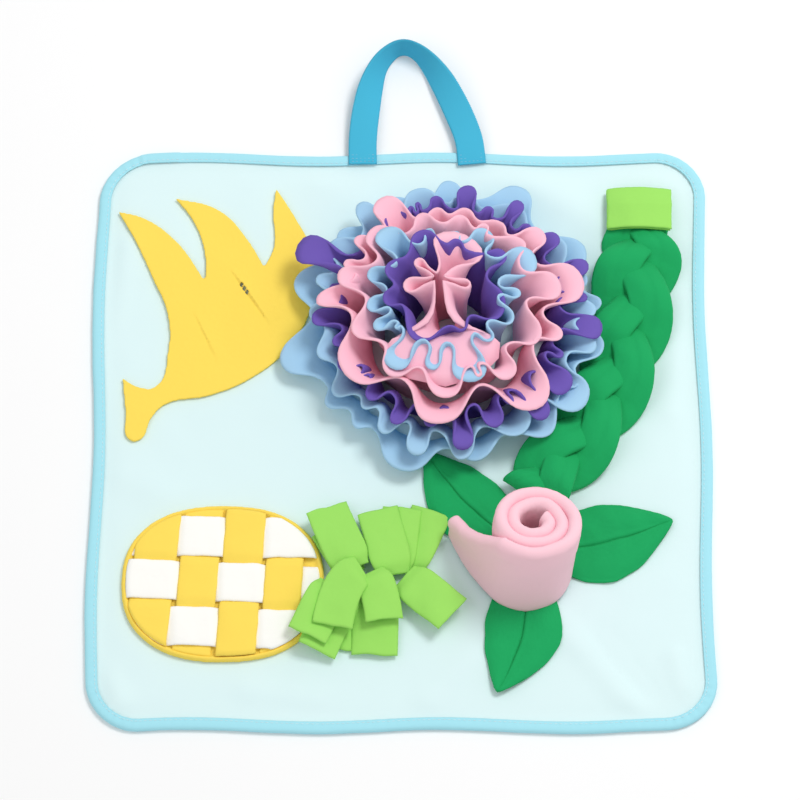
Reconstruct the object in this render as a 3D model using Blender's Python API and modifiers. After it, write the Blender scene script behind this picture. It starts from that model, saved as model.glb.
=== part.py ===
"""A snuffle mat for a dog: a flat bound fleece panel with a webbing carry handle.

On the panel are sewn a flat fruit bunch with two slits, an oval of woven strips with a tuft
of loose strips, a folded tab that holds a thick three-strand braid, leaves, a rolled rose and
a big flower of gathered frills. Metres, +Z up. The origin is the centre of the underside,
+Y runs towards the handle.
"""

import math

import bmesh
import bpy
from mathutils import Vector

MM = 0.001

# Panel and its edge
MAT_WIDTH = 450 * MM
MAT_LENGTH = 456 * MM
CORNER_RADIUS = 38 * MM
EDGE_SWAY = 1.6 * MM
PANEL_THICKNESS = 2.4 * MM
EDGE_POINTS = 56
CORNER_SHARE = 6 / 14
RIM_LIFT = 1.1 * MM
RIM_INSET = 2.2 * MM
RIM_WIDTH = 8.0 * MM
RIM_SLOPE = 3.5 * MM
TAPE_THICKNESS = 0.8 * MM
TAPE_WIDTH = 8.0 * MM
TAPE_TOP = 4.6 * MM

# Cloth laid on the panel
CLEARANCE = 0.3 * MM
BED = PANEL_THICKNESS + CLEARANCE
FLEECE = 1.8 * MM

# Carry handle
WEBBING_WIDTH = 20.5 * MM
WEBBING_THICKNESS = 1.6 * MM

# Woven oval
OVAL_CENTRE = (-128 * MM, -116.5 * MM)
OVAL_RADII = (73 * MM, 60 * MM)
OVAL_BORDER = 4.5 * MM
OVAL_SQUARENESS = 2.35
OVAL_SEGMENTS = 44
CUTTER_LOW, CUTTER_HIGH = 3 * MM, 12 * MM
STRIP_THICKNESS = 1.6 * MM
UNDER_LEVEL = 5.7 * MM
OVER_LEVEL = 7.9 * MM
BULGE = 1.3 * MM
STRIP_REACH = 80.0
STRIP_EASE = 1.0

# Braid
BRAID_SWING = 18.5 * MM
BRAID_RISE = 5.6 * MM
STRAND_WIDTH = 19.5 * MM
STRAND_THICKNESS = 5.0 * MM
BRAID_TURNS = 1.95

# Rose
ROSE_CENTRE = (91 * MM, -104 * MM)
ROSE_HEIGHT = 52 * MM
ROSE_WALL = 7.6 * MM
ROSE_OUTER = 32.5 * MM
ROSE_INNER = 8.5 * MM
ROSE_TURNS = 2.5
ROSE_LEAN = (0.08, 0.27)
ROSE_BED = 7.4 * MM
ROSE_START = math.radians(222)
ROSE_ROLLED_SHARE = 0.87
FLAP_TIP = (37 * MM, -78 * MM)
FLAP_BOW = (-2.4 * MM, -1.8 * MM)
FLAP_TIP_SHARE = 0.42

# Frilled flower
FLOWER_CENTRE = (35.5 * MM, 82 * MM)
FRILL_THICKNESS = 2.2 * MM

PALE_AQUA = (0.72, 0.90, 0.91)
CYAN = (0.38, 0.77, 0.87)
BLUE_WEBBING = (0.05, 0.45, 0.66)
YELLOW = (0.99, 0.72, 0.10)
CREAM = (0.98, 0.97, 0.92)
LIME = (0.33, 0.73, 0.12)
GREEN = (0.0, 0.37, 0.10)
ROSE_PINK = (0.96, 0.60, 0.68)
PINK = (0.97, 0.52, 0.64)
POWDER_BLUE = (0.37, 0.61, 0.83)
PURPLE = (0.15, 0.09, 0.44)


def clear_scene():
    for old in list(bpy.data.objects):
        bpy.data.objects.remove(old, do_unlink=True)


def new_collection(name, hidden=False):
    collection = bpy.data.collections.new(name)
    collection.hide_render = hidden
    bpy.context.scene.collection.children.link(collection)
    return collection


def material(name, colour, roughness=0.95):
    found = bpy.data.materials.get(name)
    if found:
        return found
    made = bpy.data.materials.new(name)
    made.use_nodes = True
    shader = made.node_tree.nodes["Principled BSDF"]
    shader.inputs["Base Color"].default_value = (*colour, 1.0)
    shader.inputs["Roughness"].default_value = roughness
    shader.inputs["Metallic"].default_value = 0.0
    return made


def add_object(name, data, collection, finish):
    obj = bpy.data.objects.new(name, data)
    data.materials.append(finish)
    collection.objects.link(obj)
    return obj


def cloth(name, finish, columns, rows, place, thickness, closed=False):
    """A sheet of cloth: a grid whose points go to place(u, v), thickened by Solidify.

    u runs 0 to 1 over the columns and v over the rows. A closed sheet joins u = 1 to u = 0.
    """
    bm = bmesh.new()
    bmesh.ops.create_grid(bm, x_segments=columns, y_segments=rows, size=0.5)
    for vert in bm.verts:
        vert.co = place(vert.co.x + 0.5, vert.co.y + 0.5)
    if closed:
        bmesh.ops.remove_doubles(bm, verts=bm.verts, dist=0.0001 * MM)
    mesh = bpy.data.meshes.new(name)
    bm.to_mesh(mesh)
    bm.free()
    mesh.shade_smooth()
    obj = add_object(name, mesh, PARTS, finish)
    solid = obj.modifiers.new("Thickness", "SOLIDIFY")
    solid.thickness = thickness
    solid.offset = 0.0
    solid.use_even_offset = True
    return obj


def slab(name, finish, outlines, low, thickness, resolution=2):
    """A flat cut piece: a filled 2D curve of (x, y, is_corner) outlines in mm, holes after the first."""
    curve = bpy.data.curves.new(name, "CURVE")
    curve.dimensions = "2D"
    curve.fill_mode = "BOTH"
    curve.extrude = thickness / 2
    curve.resolution_u = resolution
    for outline in outlines:
        spline = curve.splines.new("BEZIER")
        spline.bezier_points.add(len(outline) - 1)
        spline.use_cyclic_u = True
        for point, (x, y, is_corner) in zip(spline.bezier_points, outline):
            point.co = (x * MM, y * MM, 0)
            kind = "VECTOR" if is_corner else "AUTO"
            point.handle_left_type = kind
            point.handle_right_type = kind
    obj = add_object(name, curve, PARTS, finish)
    obj.location.z = low + thickness / 2
    return obj


def spline_at(rows, t):
    """The smooth curve through the rows (tuples of numbers) at t in 0..1, as a tuple."""
    place = min(max(t, 0.0), 1.0) * (len(rows) - 1)
    index = min(int(place), len(rows) - 2)
    part = place - index
    before = rows[max(index - 1, 0)]
    start, end = rows[index], rows[index + 1]
    after = rows[min(index + 2, len(rows) - 1)]
    found = []
    for a, b, c, d in zip(before, start, end, after):
        pull_in, pull_out = (c - a) / 2, (d - b) / 2
        bend = 3 * (c - b) - 2 * pull_in - pull_out
        twist = 2 * (b - c) + pull_in + pull_out
        found.append(b + pull_in * part + bend * part**2 + twist * part**3)
    return tuple(found)


# ------------------------------------------------------------------ panel and edge


def mat_edge(u, inset):
    """A point of the mat's outline, moved inwards: a rounded rectangle whose sides sway a little."""
    half_x, half_y = MAT_WIDTH / 2 - inset, MAT_LENGTH / 2 - inset
    radius = CORNER_RADIUS - inset
    quarter = (u * 4) % 4
    side = int(quarter)
    part = quarter - side
    corners = ((1, 1), (-1, 1), (-1, -1), (1, -1))
    sign_x, sign_y = corners[side]
    centre = Vector((sign_x * (half_x - radius), sign_y * (half_y - radius)))
    if part < CORNER_SHARE:
        angle = math.radians(90 * (side + part / CORNER_SHARE))
        point = centre + radius * Vector((math.cos(angle), math.sin(angle)))
    else:
        along = (part - CORNER_SHARE) / (1 - CORNER_SHARE)
        next_x, next_y = corners[(side + 1) % 4]
        end = Vector((next_x * (half_x - radius), next_y * (half_y - radius)))
        angle = math.radians(90 * (side + 1))
        outwards = radius * Vector((math.cos(angle), math.sin(angle)))
        point = centre.lerp(end, along) + outwards
    sway = EDGE_SWAY * math.sin(5 * math.pi * point.x / MAT_WIDTH + 0.6)
    sway_x = EDGE_SWAY * math.sin(4 * math.pi * point.y / MAT_LENGTH + 1.9)
    return Vector((point.x + sway_x, point.y + sway))


def edge_tape_section(v):
    """(inset, height) across the folded tape, from its lower free edge round to its upper one."""
    half = TAPE_THICKNESS / 2
    top = TAPE_TOP - half
    section = (
        (TAPE_WIDTH, half),
        (1.6 * MM, half),
        (half, 1.4 * MM),
        (half, top - 1.0 * MM),
        (1.6 * MM, top),
        (TAPE_WIDTH, top),
    )
    return section[round(v * (len(section) - 1))]


def add_panel():
    bm = bmesh.new()
    bmesh.ops.create_circle(bm, cap_ends=True, segments=EDGE_POINTS, radius=1.0)
    in_order = sorted(bm.verts, key=lambda vert: math.atan2(vert.co.y, vert.co.x) % (2 * math.pi))
    for index, vert in enumerate(in_order):
        flat = mat_edge(index / EDGE_POINTS, RIM_INSET)
        vert.co = (flat.x, flat.y, RIM_LIFT)
    bm.normal_update()
    for width in (RIM_WIDTH, RIM_SLOPE):
        middle = max(bm.faces, key=lambda face: len(face.verts))
        bmesh.ops.inset_region(
            bm, faces=[middle], thickness=width, use_boundary=True, use_even_offset=True
        )
    for vert in max(bm.faces, key=lambda face: len(face.verts)).verts:
        vert.co.z = 0.0
    mesh = bpy.data.meshes.new("fleece_panel")
    bm.to_mesh(mesh)
    bm.free()
    panel = add_object("fleece_panel", mesh, PARTS, material("pale_aqua_fleece", PALE_AQUA))
    solid = panel.modifiers.new("Thickness", "SOLIDIFY")
    solid.thickness = PANEL_THICKNESS
    solid.offset = 1.0


def add_binding():
    def place(u, v):
        inset, height = edge_tape_section(v)
        flat = mat_edge(u, inset)
        return (flat.x, flat.y, height)

    finish = material("cyan_binding", CYAN, 0.8)
    cloth("edge_binding", finish, EDGE_POINTS, 5, place, TAPE_THICKNESS, closed=True)


# ------------------------------------------------------------------ handle

# x, y and z of the strap's middle in mm, and how far it has rolled up onto its edge in degrees
HANDLE_COURSE = (
    (-28.5, 219, 5.8, 0),
    (-28.5, 239, 6.0, 2),
    (-26.5, 260, 8.0, 13),
    (-22.5, 281, 10.2, 36),
    (-16.0, 299, 11.2, 62),
    (-6.5, 310.5, 11.4, 78),
    (2.5, 314.0, 11.4, 84),
    (12.0, 310.0, 11.4, 78),
    (22.0, 299.5, 11.0, 60),
    (32.5, 283, 10.0, 36),
    (43.0, 261, 8.0, 14),
    (50.5, 240, 6.2, 2),
    (53.0, 219, 5.8, 0),
)


def add_handle():
    def place(u, v):
        x, y, z, roll = spline_at(HANDLE_COURSE, u)
        ahead = spline_at(HANDLE_COURSE, min(u + 0.01, 1.0))
        behind = spline_at(HANDLE_COURSE, max(u - 0.01, 0.0))
        along = Vector((ahead[0] - behind[0], ahead[1] - behind[1], 0)).normalized()
        outwards = Vector((-along.y, along.x, 0))
        tilt = math.radians(roll)
        across = math.cos(tilt) * outwards + Vector((0, 0, math.sin(tilt)))
        middle = Vector((x, y, z)) * MM
        return middle + across * (v - 0.5) * WEBBING_WIDTH

    finish = material("blue_webbing", BLUE_WEBBING, 0.7)
    cloth("carry_handle", finish, 30, 1, place, WEBBING_THICKNESS)


# ------------------------------------------------------------------ flat fruit bunch

# x, y in mm and whether the outline turns a sharp corner there: three fruits and their stalk
BUNCH_OUTLINE = (
    (-210, 180, True),
    (-188, 173, False),
    (-166, 155, False),
    (-144, 122, True),
    (-146, 150, False),
    (-155, 174, False),
    (-168, 191, True),
    (-136, 182, False),
    (-113, 156, False),
    (-101, 134, True),
    (-94, 152, False),
    (-95, 180, False),
    (-93, 199, True),
    (-79, 176, False),
    (-66, 148, False),
    (-64, 112, False),
    (-79, 74, False),
    (-108, 46, False),
    (-140, 31, False),
    (-172, 24, False),
    (-182, 13, False),
    (-190, -4, False),
    (-198, -4, False),
    (-201, 18, False),
    (-204, 45, True),
    (-192, 38, False),
    (-180, 38, False),
    (-171, 66, False),
    (-172, 97, False),
    (-184, 127, False),
    (-196, 154, False),
)

# Ends of each slit in mm, and how wide it gapes
BUNCH_SLITS = (
    ((-154, 101), (-133, 55), 0.9),
    ((-127, 134), (-96, 87), 1.6),
)


def slit_outline(start, end, gape):
    run = Vector(end) - Vector(start)
    aside = Vector((run.y, -run.x)).normalized()
    near = Vector(start) + run * 0.3
    far = Vector(start) + run * 0.6
    return (
        (*start, True),
        (*(near + aside * gape / 2), False),
        (*(far + aside * gape / 3), False),
        (*end, True),
        (*(far - aside * gape / 3), False),
        (*(near - aside * gape / 2), False),
    )


def add_fruit_bunch():
    outlines = [BUNCH_OUTLINE] + [slit_outline(*row) for row in BUNCH_SLITS]
    slab("fruit_bunch", material("yellow_fleece", YELLOW), outlines, BED, FLEECE)


# ------------------------------------------------------------------ woven oval

# Strips across the oval: name, middle in mm, width in mm, tilt (sideways mm per mm)
UPRIGHT_STRIPS = (
    ("yellow_strip_1", -178.5, 28, 0.09),
    ("yellow_strip_2", -146.0, 25, 0.07),
    ("yellow_strip_3", -115.0, 25, 0.06),
    ("yellow_strip_4", -84.5, 24, 0.06),
)
LEVEL_STRIPS = (
    ("white_strip_1", -82.0, 27, -0.02),
    ("white_strip_2", -116.5, 27, -0.04),
    ("white_strip_3", -151.0, 27, -0.04),
)


def oval_point(angle, inset):
    """A point of the oval's outline, a little squarer than an ellipse."""
    power = 2 / OVAL_SQUARENESS
    cosine, sine = math.cos(angle), math.sin(angle)
    return (
        OVAL_CENTRE[0] + (OVAL_RADII[0] - inset) * math.copysign(abs(cosine) ** power, cosine),
        OVAL_CENTRE[1] + (OVAL_RADII[1] - inset) * math.copysign(abs(sine) ** power, sine),
    )


def oval_disc(name, inset, low, high, collection, finish):
    bm = bmesh.new()
    bmesh.ops.create_cone(
        bm, cap_ends=True, segments=OVAL_SEGMENTS, radius1=1.0, radius2=1.0, depth=high - low
    )
    for vert in bm.verts:
        angle = math.atan2(vert.co.y, vert.co.x)
        vert.co.x, vert.co.y = oval_point(angle, inset)
        vert.co.z += (low + high) / 2
    mesh = bpy.data.meshes.new(name)
    bm.to_mesh(mesh)
    bm.free()
    return add_object(name, mesh, collection, finish)


def weave_stations(crossings):
    """(distance in mm, crossing) along a strip.

    The crossing is None at the strip's ends, the crossed strip's index at its two edges, and that
    index in a tuple of one at its middle.
    """
    stations = [(-STRIP_REACH, None)]
    for index, (middle, width) in enumerate(crossings):
        half = width / 2 + STRIP_EASE
        stations += [(middle - half, index), (middle, (index,)), (middle + half, index)]
    stations.append((STRIP_REACH, None))
    return stations


def add_woven_strip(name, finish, middle, width, tilt, crossings, goes_over, is_upright):
    """One strip, over and under those it crosses: crossings holds (place, width) from the oval's centre."""
    stations = weave_stations(crossings)
    centre_x, centre_y = OVAL_CENTRE

    def place(u, v):
        along, crossed = stations[round(u * (len(stations) - 1))]
        aside = (v - 0.5) * width * MM
        if crossed is None:
            first_end = along < 0
            level = OVER_LEVEL if goes_over(0 if first_end else len(crossings) - 1) else UNDER_LEVEL
        elif isinstance(crossed, tuple):
            over = goes_over(crossed[0])
            level = OVER_LEVEL + BULGE if over else UNDER_LEVEL
        else:
            level = OVER_LEVEL if goes_over(crossed) else UNDER_LEVEL
        run = along * MM
        if is_upright:
            return (middle * MM + aside + tilt * run, centre_y + run, level)
        return (centre_x + run, middle * MM + aside + tilt * run, level)

    strip = cloth(name, finish, len(stations) - 1, 1, place, STRIP_THICKNESS)
    if not is_upright:
        strip.data.flip_normals()
    trim = strip.modifiers.new("Trim to the oval", "BOOLEAN")
    trim.operation = "INTERSECT"
    trim.object = OVAL_CUTTER


def add_woven_oval():
    oval_disc("oval_base", 0.0, BED, BED + FLEECE, PARTS, material("yellow_fleece", YELLOW))
    centre_x, centre_y = (value / MM for value in OVAL_CENTRE)
    from_low = LEVEL_STRIPS[::-1]

    def crossings(crossed, own_place, centre, other_centre):
        """(place, width) of each strip that is crossed, where the strip at own_place meets it."""
        run = own_place - other_centre
        return [(row[1] + row[3] * run - centre, row[2]) for row in crossed]

    for column, (name, middle, width, tilt) in enumerate(UPRIGHT_STRIPS):
        # Crossings are counted from the bottom strip: the first upright passes over it.
        add_woven_strip(
            name, material("yellow_fleece", YELLOW), middle, width, tilt,
            crossings(from_low, middle, centre_y, centre_x),
            lambda row, column=column: (row + column) % 2 == 0, True,
        )
    for row, (name, middle, width, tilt) in enumerate(from_low):
        add_woven_strip(
            name, material("cream_fleece", CREAM), middle, width, tilt,
            crossings(UPRIGHT_STRIPS, middle, centre_x, centre_y),
            lambda column, row=row: (row + column) % 2 == 1, False,
        )


# ------------------------------------------------------------------ tuft of loose strips

# All in mm
TUFT_CENTRE = (-20, -110)
TUFT_FOOT = 4.3
TUFT_DOME = 7.0
TUFT_SPREAD = 42.0
TUFT_LAYER = 2.3
# Where the tuft climbs onto a neighbour: the step's x, how softly it rises, and its height
STEP_TO_OVAL = (-62, -4.0, 6.6)
STEP_TO_LEAF = (16, 3.0, 3.2)
# name, root, bend and tip in mm, width in mm, layer from the bottom
TUFT_STRIPS = (
    ("tuft_strip_01", (-34, -110), (-44, -94), (-54, -76), 24, 0),
    ("tuft_strip_02", (-34, -108), (-44, -86), (-54, -61), 31, 3),
    ("tuft_strip_03", (-4, -108), (-2, -84), (1, -59), 28, 1),
    ("tuft_strip_04", (3, -106), (13, -84), (22, -61), 30, 0),
    ("tuft_strip_05", (-5, -112), (-10, -88), (-17, -62), 30, 2),
    ("tuft_strip_06", (2, -114), (19, -128), (37, -144), 31, 3),
    ("tuft_strip_07", (-18, -114), (-18, -140), (-19, -172), 33, 1),
    ("tuft_strip_08", (-28, -116), (-34, -140), (-37, -168), 22, 0),
    ("tuft_strip_09", (-22, -112), (-14, -128), (-12, -149), 27, 4),
    ("tuft_strip_10", (-34, -116), (-48, -140), (-60, -170), 28, 2),
    ("tuft_strip_11", (-48, -120), (-56, -136), (-67, -161), 29, 4),
    ("tuft_strip_12", (-28, -110), (-44, -118), (-49, -154), 29, 5),
)


def tuft_height(x, y, layer):
    far = math.hypot(x - TUFT_CENTRE[0], y - TUFT_CENTRE[1])
    dome = TUFT_DOME * math.exp(-((far / TUFT_SPREAD) ** 2))
    steps = sum(
        rise / (1 + math.exp((edge - x) / softness))
        for edge, softness, rise in (STEP_TO_OVAL, STEP_TO_LEAF)
    )
    return TUFT_FOOT + dome + steps + layer * TUFT_LAYER


def add_tuft_strip(name, root, bend, tip, width, layer):
    def middle(u):
        return (1 - u) ** 2 * Vector(root) + 2 * u * (1 - u) * Vector(bend) + u**2 * Vector(tip)

    def place(u, v):
        along = (middle(min(u + 0.05, 1.0)) - middle(max(u - 0.05, 0.0))).normalized()
        aside = Vector((-along.y, along.x)) * (v - 0.5) * width
        flat = middle(u) + aside
        return Vector((flat.x, flat.y, tuft_height(flat.x, flat.y, layer))) * MM

    cloth(name, material("lime_fleece", LIME), 5, 2, place, STRIP_THICKNESS)


# ------------------------------------------------------------------ tab and braid

TAB_CENTRE = (177, 178.5)
TAB_SIZE = (47, 35)
TAB_THICKNESS = 1.3 * MM
# The tab lies level on the braid over this share of its length, then falls to the panel
TAB_LEVEL_SHARE = 0.55
TAB_FALL = 12
# height of the tab's folded section: (across in mm from its middle, height in mm)
TAB_SECTION = (
    (22.5, 12.4),
    (8.0, 15.8),
    (-8.0, 16.0),
    (-21.5, 13.0),
    (-23.2, 14.2),
    (-21.0, 15.5),
    (-8.0, 18.6),
    (8.0, 18.4),
    (23.0, 14.9),
)
# the braid's middle: x, y in mm, how much of its thickness and width it has, and its height in mm
BRAID_COURSE = (
    (177, 190, 0.40, 0.62, 6.0),
    (176.5, 164, 0.55, 0.74, 7.8),
    (175, 138, 1.0, 1.03, 12.0),
    (170, 98, 1.0, 1.0, 12.0),
    (162, 61, 1.0, 0.97, 12.0),
    (147, 24, 1.0, 0.97, 12.0),
    (126, -10, 1.0, 0.95, 12.4),
    (103, -38, 0.92, 0.85, 12.8),
    (92, -52, 0.62, 0.72, 10.6),
)
BRAID_START_PHASE = 0.7
STRAND_SIDES = 6
STRAND_STATIONS = 34


def add_tab():
    def place(u, v):
        across, height = TAB_SECTION[round(u * (len(TAB_SECTION) - 1))]
        fall = max(0.0, v - TAB_LEVEL_SHARE) * TAB_FALL
        x = TAB_CENTRE[0] + across
        y = TAB_CENTRE[1] + (v - 0.5) * TAB_SIZE[1]
        return Vector((x, y, height - fall)) * MM

    lime = material("lime_fleece", LIME)
    tab = cloth("folded_tab", lime, len(TAB_SECTION) - 1, 2, place, TAB_THICKNESS)
    tab.data.flip_normals()


def add_strand(name, index):
    """One strand of the flat braid: it swings from side to side and passes over and under the others."""

    def middle(t):
        return Vector(spline_at(BRAID_COURSE, t)[:2])

    def place(u, v):
        x, y, thick, wide, height = spline_at(BRAID_COURSE, u)
        along = (middle(min(u + 0.01, 1.0)) - middle(max(u - 0.01, 0.0))).normalized()
        aside = Vector((-along.y, along.x))
        phase = 2 * math.pi * (BRAID_TURNS * u + index / 3) + BRAID_START_PHASE
        swing = BRAID_SWING / MM * wide * math.sin(phase)
        rise = BRAID_RISE / MM * thick * math.sin(2 * phase)
        turn = 2 * math.pi * v
        out = swing + STRAND_WIDTH / MM / 2 * wide * math.cos(turn)
        up = height + rise + STRAND_THICKNESS / MM / 2 * thick * math.sin(turn)
        return Vector((x + aside.x * out, y + aside.y * out, up)) * MM

    bm = bmesh.new()
    bmesh.ops.create_cone(
        bm, cap_ends=True, segments=STRAND_SIDES, radius1=1.0, radius2=1.0, depth=1.0
    )
    sides = [edge for edge in bm.edges if abs(edge.verts[0].co.z - edge.verts[1].co.z) > 0.5]
    bmesh.ops.subdivide_edges(bm, edges=sides, cuts=STRAND_STATIONS - 1, use_grid_fill=True)
    for vert in bm.verts:
        turn = math.atan2(vert.co.y, vert.co.x) / (2 * math.pi)
        vert.co = place(vert.co.z + 0.5, turn)
    bmesh.ops.recalc_face_normals(bm, faces=bm.faces)
    mesh = bpy.data.meshes.new(name)
    bm.to_mesh(mesh)
    bm.free()
    mesh.shade_smooth()
    add_object(name, mesh, PARTS, material("green_fleece", GREEN))


# ------------------------------------------------------------------ leaves

# name, base and tip in mm, half width in mm, sideways bow of the midrib in mm
LEAVES = (
    ("leaf_right", (106, -92), (195, -68), 29, -3),
    ("leaf_low", (92, -112), (69, -199), 27, 5),
    ("leaf_left", (77, -83), (18, -15), 26, 4),
)
LEAF_RISE = 1.6
LEAF_LEVEL = BED / MM + 1.0
LEAF_THICKNESS = 1.4 * MM
# The outline's half width is sin(pi * u ** LEAF_SHOULDER) ** LEAF_FULLNESS from base to tip
LEAF_START = 0.06
LEAF_SHOULDER = 0.85
LEAF_FULLNESS = 0.8
LEAF_NARROWEST = 0.8


def add_leaf(name, base, tip, half_width, bow):
    run = Vector(tip) - Vector(base)
    aside = Vector((-run.y, run.x)).normalized()

    def place(u, v):
        side = 2 * v - 1
        grown = (LEAF_START + (1 - LEAF_START) * u) ** LEAF_SHOULDER
        spread = half_width * max(math.sin(math.pi * grown), 0.0) ** LEAF_FULLNESS
        spread = max(spread, LEAF_NARROWEST)
        flat = Vector(base) + run * u + aside * (bow * math.sin(math.pi * u) + side * spread)
        height = LEAF_LEVEL + LEAF_RISE * abs(side) * math.sin(math.pi * u)
        return Vector((flat.x, flat.y, height)) * MM

    cloth(name, material("green_fleece", GREEN), 9, 4, place, LEAF_THICKNESS)


# ------------------------------------------------------------------ rose


def add_rose():
    """A folded strip rolled up on its edge, with a free end that stands away from the roll."""
    centre = Vector(ROSE_CENTRE)
    leave = centre + ROSE_OUTER * Vector((math.cos(ROSE_START), math.sin(ROSE_START)))

    def place(u, v):
        if u < 1 - ROSE_ROLLED_SHARE:
            part = u / (1 - ROSE_ROLLED_SHARE)
            flat = Vector(FLAP_TIP).lerp(leave, part)
            flat += Vector(FLAP_BOW) * math.sin(math.pi * part)
            high = ROSE_HEIGHT * (FLAP_TIP_SHARE + (1 - FLAP_TIP_SHARE) * part**1.5)
        else:
            part = (u - 1 + ROSE_ROLLED_SHARE) / ROSE_ROLLED_SHARE
            angle = ROSE_START + part * ROSE_TURNS * 2 * math.pi
            radius = ROSE_OUTER + (ROSE_INNER - ROSE_OUTER) * part
            swell = 0.92 + 0.08 * math.sin(math.pi * 0.5 * min(1.0, v * 1.6))
            flat = centre + radius * swell * Vector((math.cos(angle), math.sin(angle)))
            high = ROSE_HEIGHT * (1.0 - 0.06 * part)
        z = ROSE_BED + v * (high - ROSE_LEAN[1] * (flat.y - centre.y))
        lift = z - ROSE_BED
        return (flat.x + ROSE_LEAN[0] * lift, flat.y + ROSE_LEAN[1] * lift, z)

    cloth("rolled_rose", material("rose_fleece", ROSE_PINK), 52, 2, place, ROSE_WALL)


# ------------------------------------------------------------------ frilled flower

# name, colour, root and edge radius, edge height, shift of the edge to the left and back, how much
# it is lifted over the braid, waves, wave depth, phase in turns; lengths in mm
FRILLS = (
    ("blue_frill_1", "powder_blue_fleece", 88, 117, 20, 0, 0, 14, 14, 5.5, 0.00),
    ("blue_frill_2", "powder_blue_fleece", 79, 110, 33, 0, 0, 6, 14, 5.5, 0.14),
    ("purple_frill_1", "purple_fleece", 70, 98, 44, 0, 2, 2, 14, 5.0, 0.28),
    ("pink_frill_1", "pink_fleece", 60, 86, 53, 2, 2, 0, 12, 4.5, 0.10),
    ("pink_frill_2", "pink_fleece", 49, 74, 60, 3, 3, 0, 12, 4.5, 0.30),
    ("blue_frill_3", "powder_blue_fleece", 38, 60, 65, 5, 6, 0, 9, 4.0, 0.0),
    ("purple_frill_2", "purple_fleece", 27, 46, 69, 7, 10, 0, 8, 3.5, 0.2),
    ("pink_heart", "pink_fleece", 13, 29, 72, 8, 12, 0, 6, 4.0, 0.1),
)
FLARE = math.radians(81)
BRAID_SIDE = math.radians(-32)
BRAID_SPREAD = math.radians(44)


def add_frill(name, colour, root, edge, height, left, back, lifted, waves, depth, phase):
    """A gathered strip sewn down in a circle, that stands up and flares into waves at its free edge."""
    centre_x, centre_y = (value / MM for value in FLOWER_CENTRE)
    foot = BED / MM + 0.8

    def place(u, v):
        angle = 2 * math.pi * u
        turn = waves * angle + 2 * math.pi * phase + 0.5 * math.sin(2 * angle)
        wave = math.sin(turn) * (1 + 0.2 * math.sin(3 * angle + 1.0))
        flare = (1 - math.cos(v * FLARE)) / (1 - math.cos(FLARE))
        radius = root + (edge - root) * flare + depth * wave * v
        from_braid = (angle - BRAID_SIDE + math.pi) % (2 * math.pi) - math.pi
        lift = foot + (height - foot) * math.sin(v * FLARE)
        lift += v * (2.0 * math.cos(turn) + lifted * math.exp(-((from_braid / BRAID_SPREAD) ** 2)))
        x = centre_x - left * v + radius * math.cos(angle)
        y = centre_y + back * v + radius * math.sin(angle)
        return Vector((x, y, lift)) * MM

    cloth(name, bpy.data.materials[colour], waves * 4, 1, place, FRILL_THICKNESS, closed=True)


clear_scene()
PARTS = new_collection("snuffle_mat")
CUTTERS = new_collection("cutters", hidden=True)
for colour_name, colour_value in (
    ("powder_blue_fleece", POWDER_BLUE),
    ("purple_fleece", PURPLE),
    ("pink_fleece", PINK),
):
    material(colour_name, colour_value)
OVAL_CUTTER = oval_disc(
    "oval_cutter", OVAL_BORDER, CUTTER_LOW, CUTTER_HIGH, CUTTERS, material("yellow_fleece", YELLOW)
)
OVAL_CUTTER.hide_render = True
OVAL_CUTTER.display_type = "WIRE"

add_panel()
add_binding()
add_handle()
add_fruit_bunch()
add_woven_oval()
for tuft_row in TUFT_STRIPS:
    add_tuft_strip(*tuft_row)
add_tab()
for strand in range(3):
    add_strand(f"braid_strand_{strand + 1}", strand)
for leaf_row in LEAVES:
    add_leaf(*leaf_row)
add_rose()
for frill_row in FRILLS:
    add_frill(*frill_row)
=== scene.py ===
"""The looks of a fleece snuffle mat: every piece of cloth on it, its finish, and the studio.

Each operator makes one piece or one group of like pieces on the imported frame. Lengths are in
millimetres inside the functions and in metres on the meshes, with +Z up and +Y to the handle.
"""

import math
import random

import bmesh
import bpy
import numpy as np
from mathutils import Matrix, Vector, noise


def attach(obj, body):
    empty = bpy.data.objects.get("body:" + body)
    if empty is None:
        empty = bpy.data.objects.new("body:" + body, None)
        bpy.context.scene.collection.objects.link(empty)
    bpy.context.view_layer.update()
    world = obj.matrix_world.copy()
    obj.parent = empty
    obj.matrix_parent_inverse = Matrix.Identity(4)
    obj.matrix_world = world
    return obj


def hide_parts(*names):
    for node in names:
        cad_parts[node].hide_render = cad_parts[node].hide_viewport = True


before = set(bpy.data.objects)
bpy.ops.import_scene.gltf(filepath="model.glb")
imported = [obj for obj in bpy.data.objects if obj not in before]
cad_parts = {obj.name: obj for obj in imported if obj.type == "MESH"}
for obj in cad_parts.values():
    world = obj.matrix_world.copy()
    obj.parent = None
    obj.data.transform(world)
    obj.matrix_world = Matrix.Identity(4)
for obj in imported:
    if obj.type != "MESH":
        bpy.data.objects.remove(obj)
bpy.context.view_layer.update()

bl_info = {
    "name": "Fleece snuffle mat",
    "version": (1, 0, 0),
    "blender": (4, 5, 0),
    "location": "3D View > Sidebar > Snuffle mat",
    "description": "Dresses the snuffle mat's frame in fleece, webbing and binding",
    "category": "Object",
}

MM = 0.001
MAT_WIDTH, MAT_LENGTH = 450, 456
CORNER_RADIUS = 38
EDGE_SWAY = 1.6
PANEL_INSET = 2.6
PANEL_THICKNESS = 2.2
BED = 2.7


# ------------------------------------------------------------------ shader building


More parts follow.
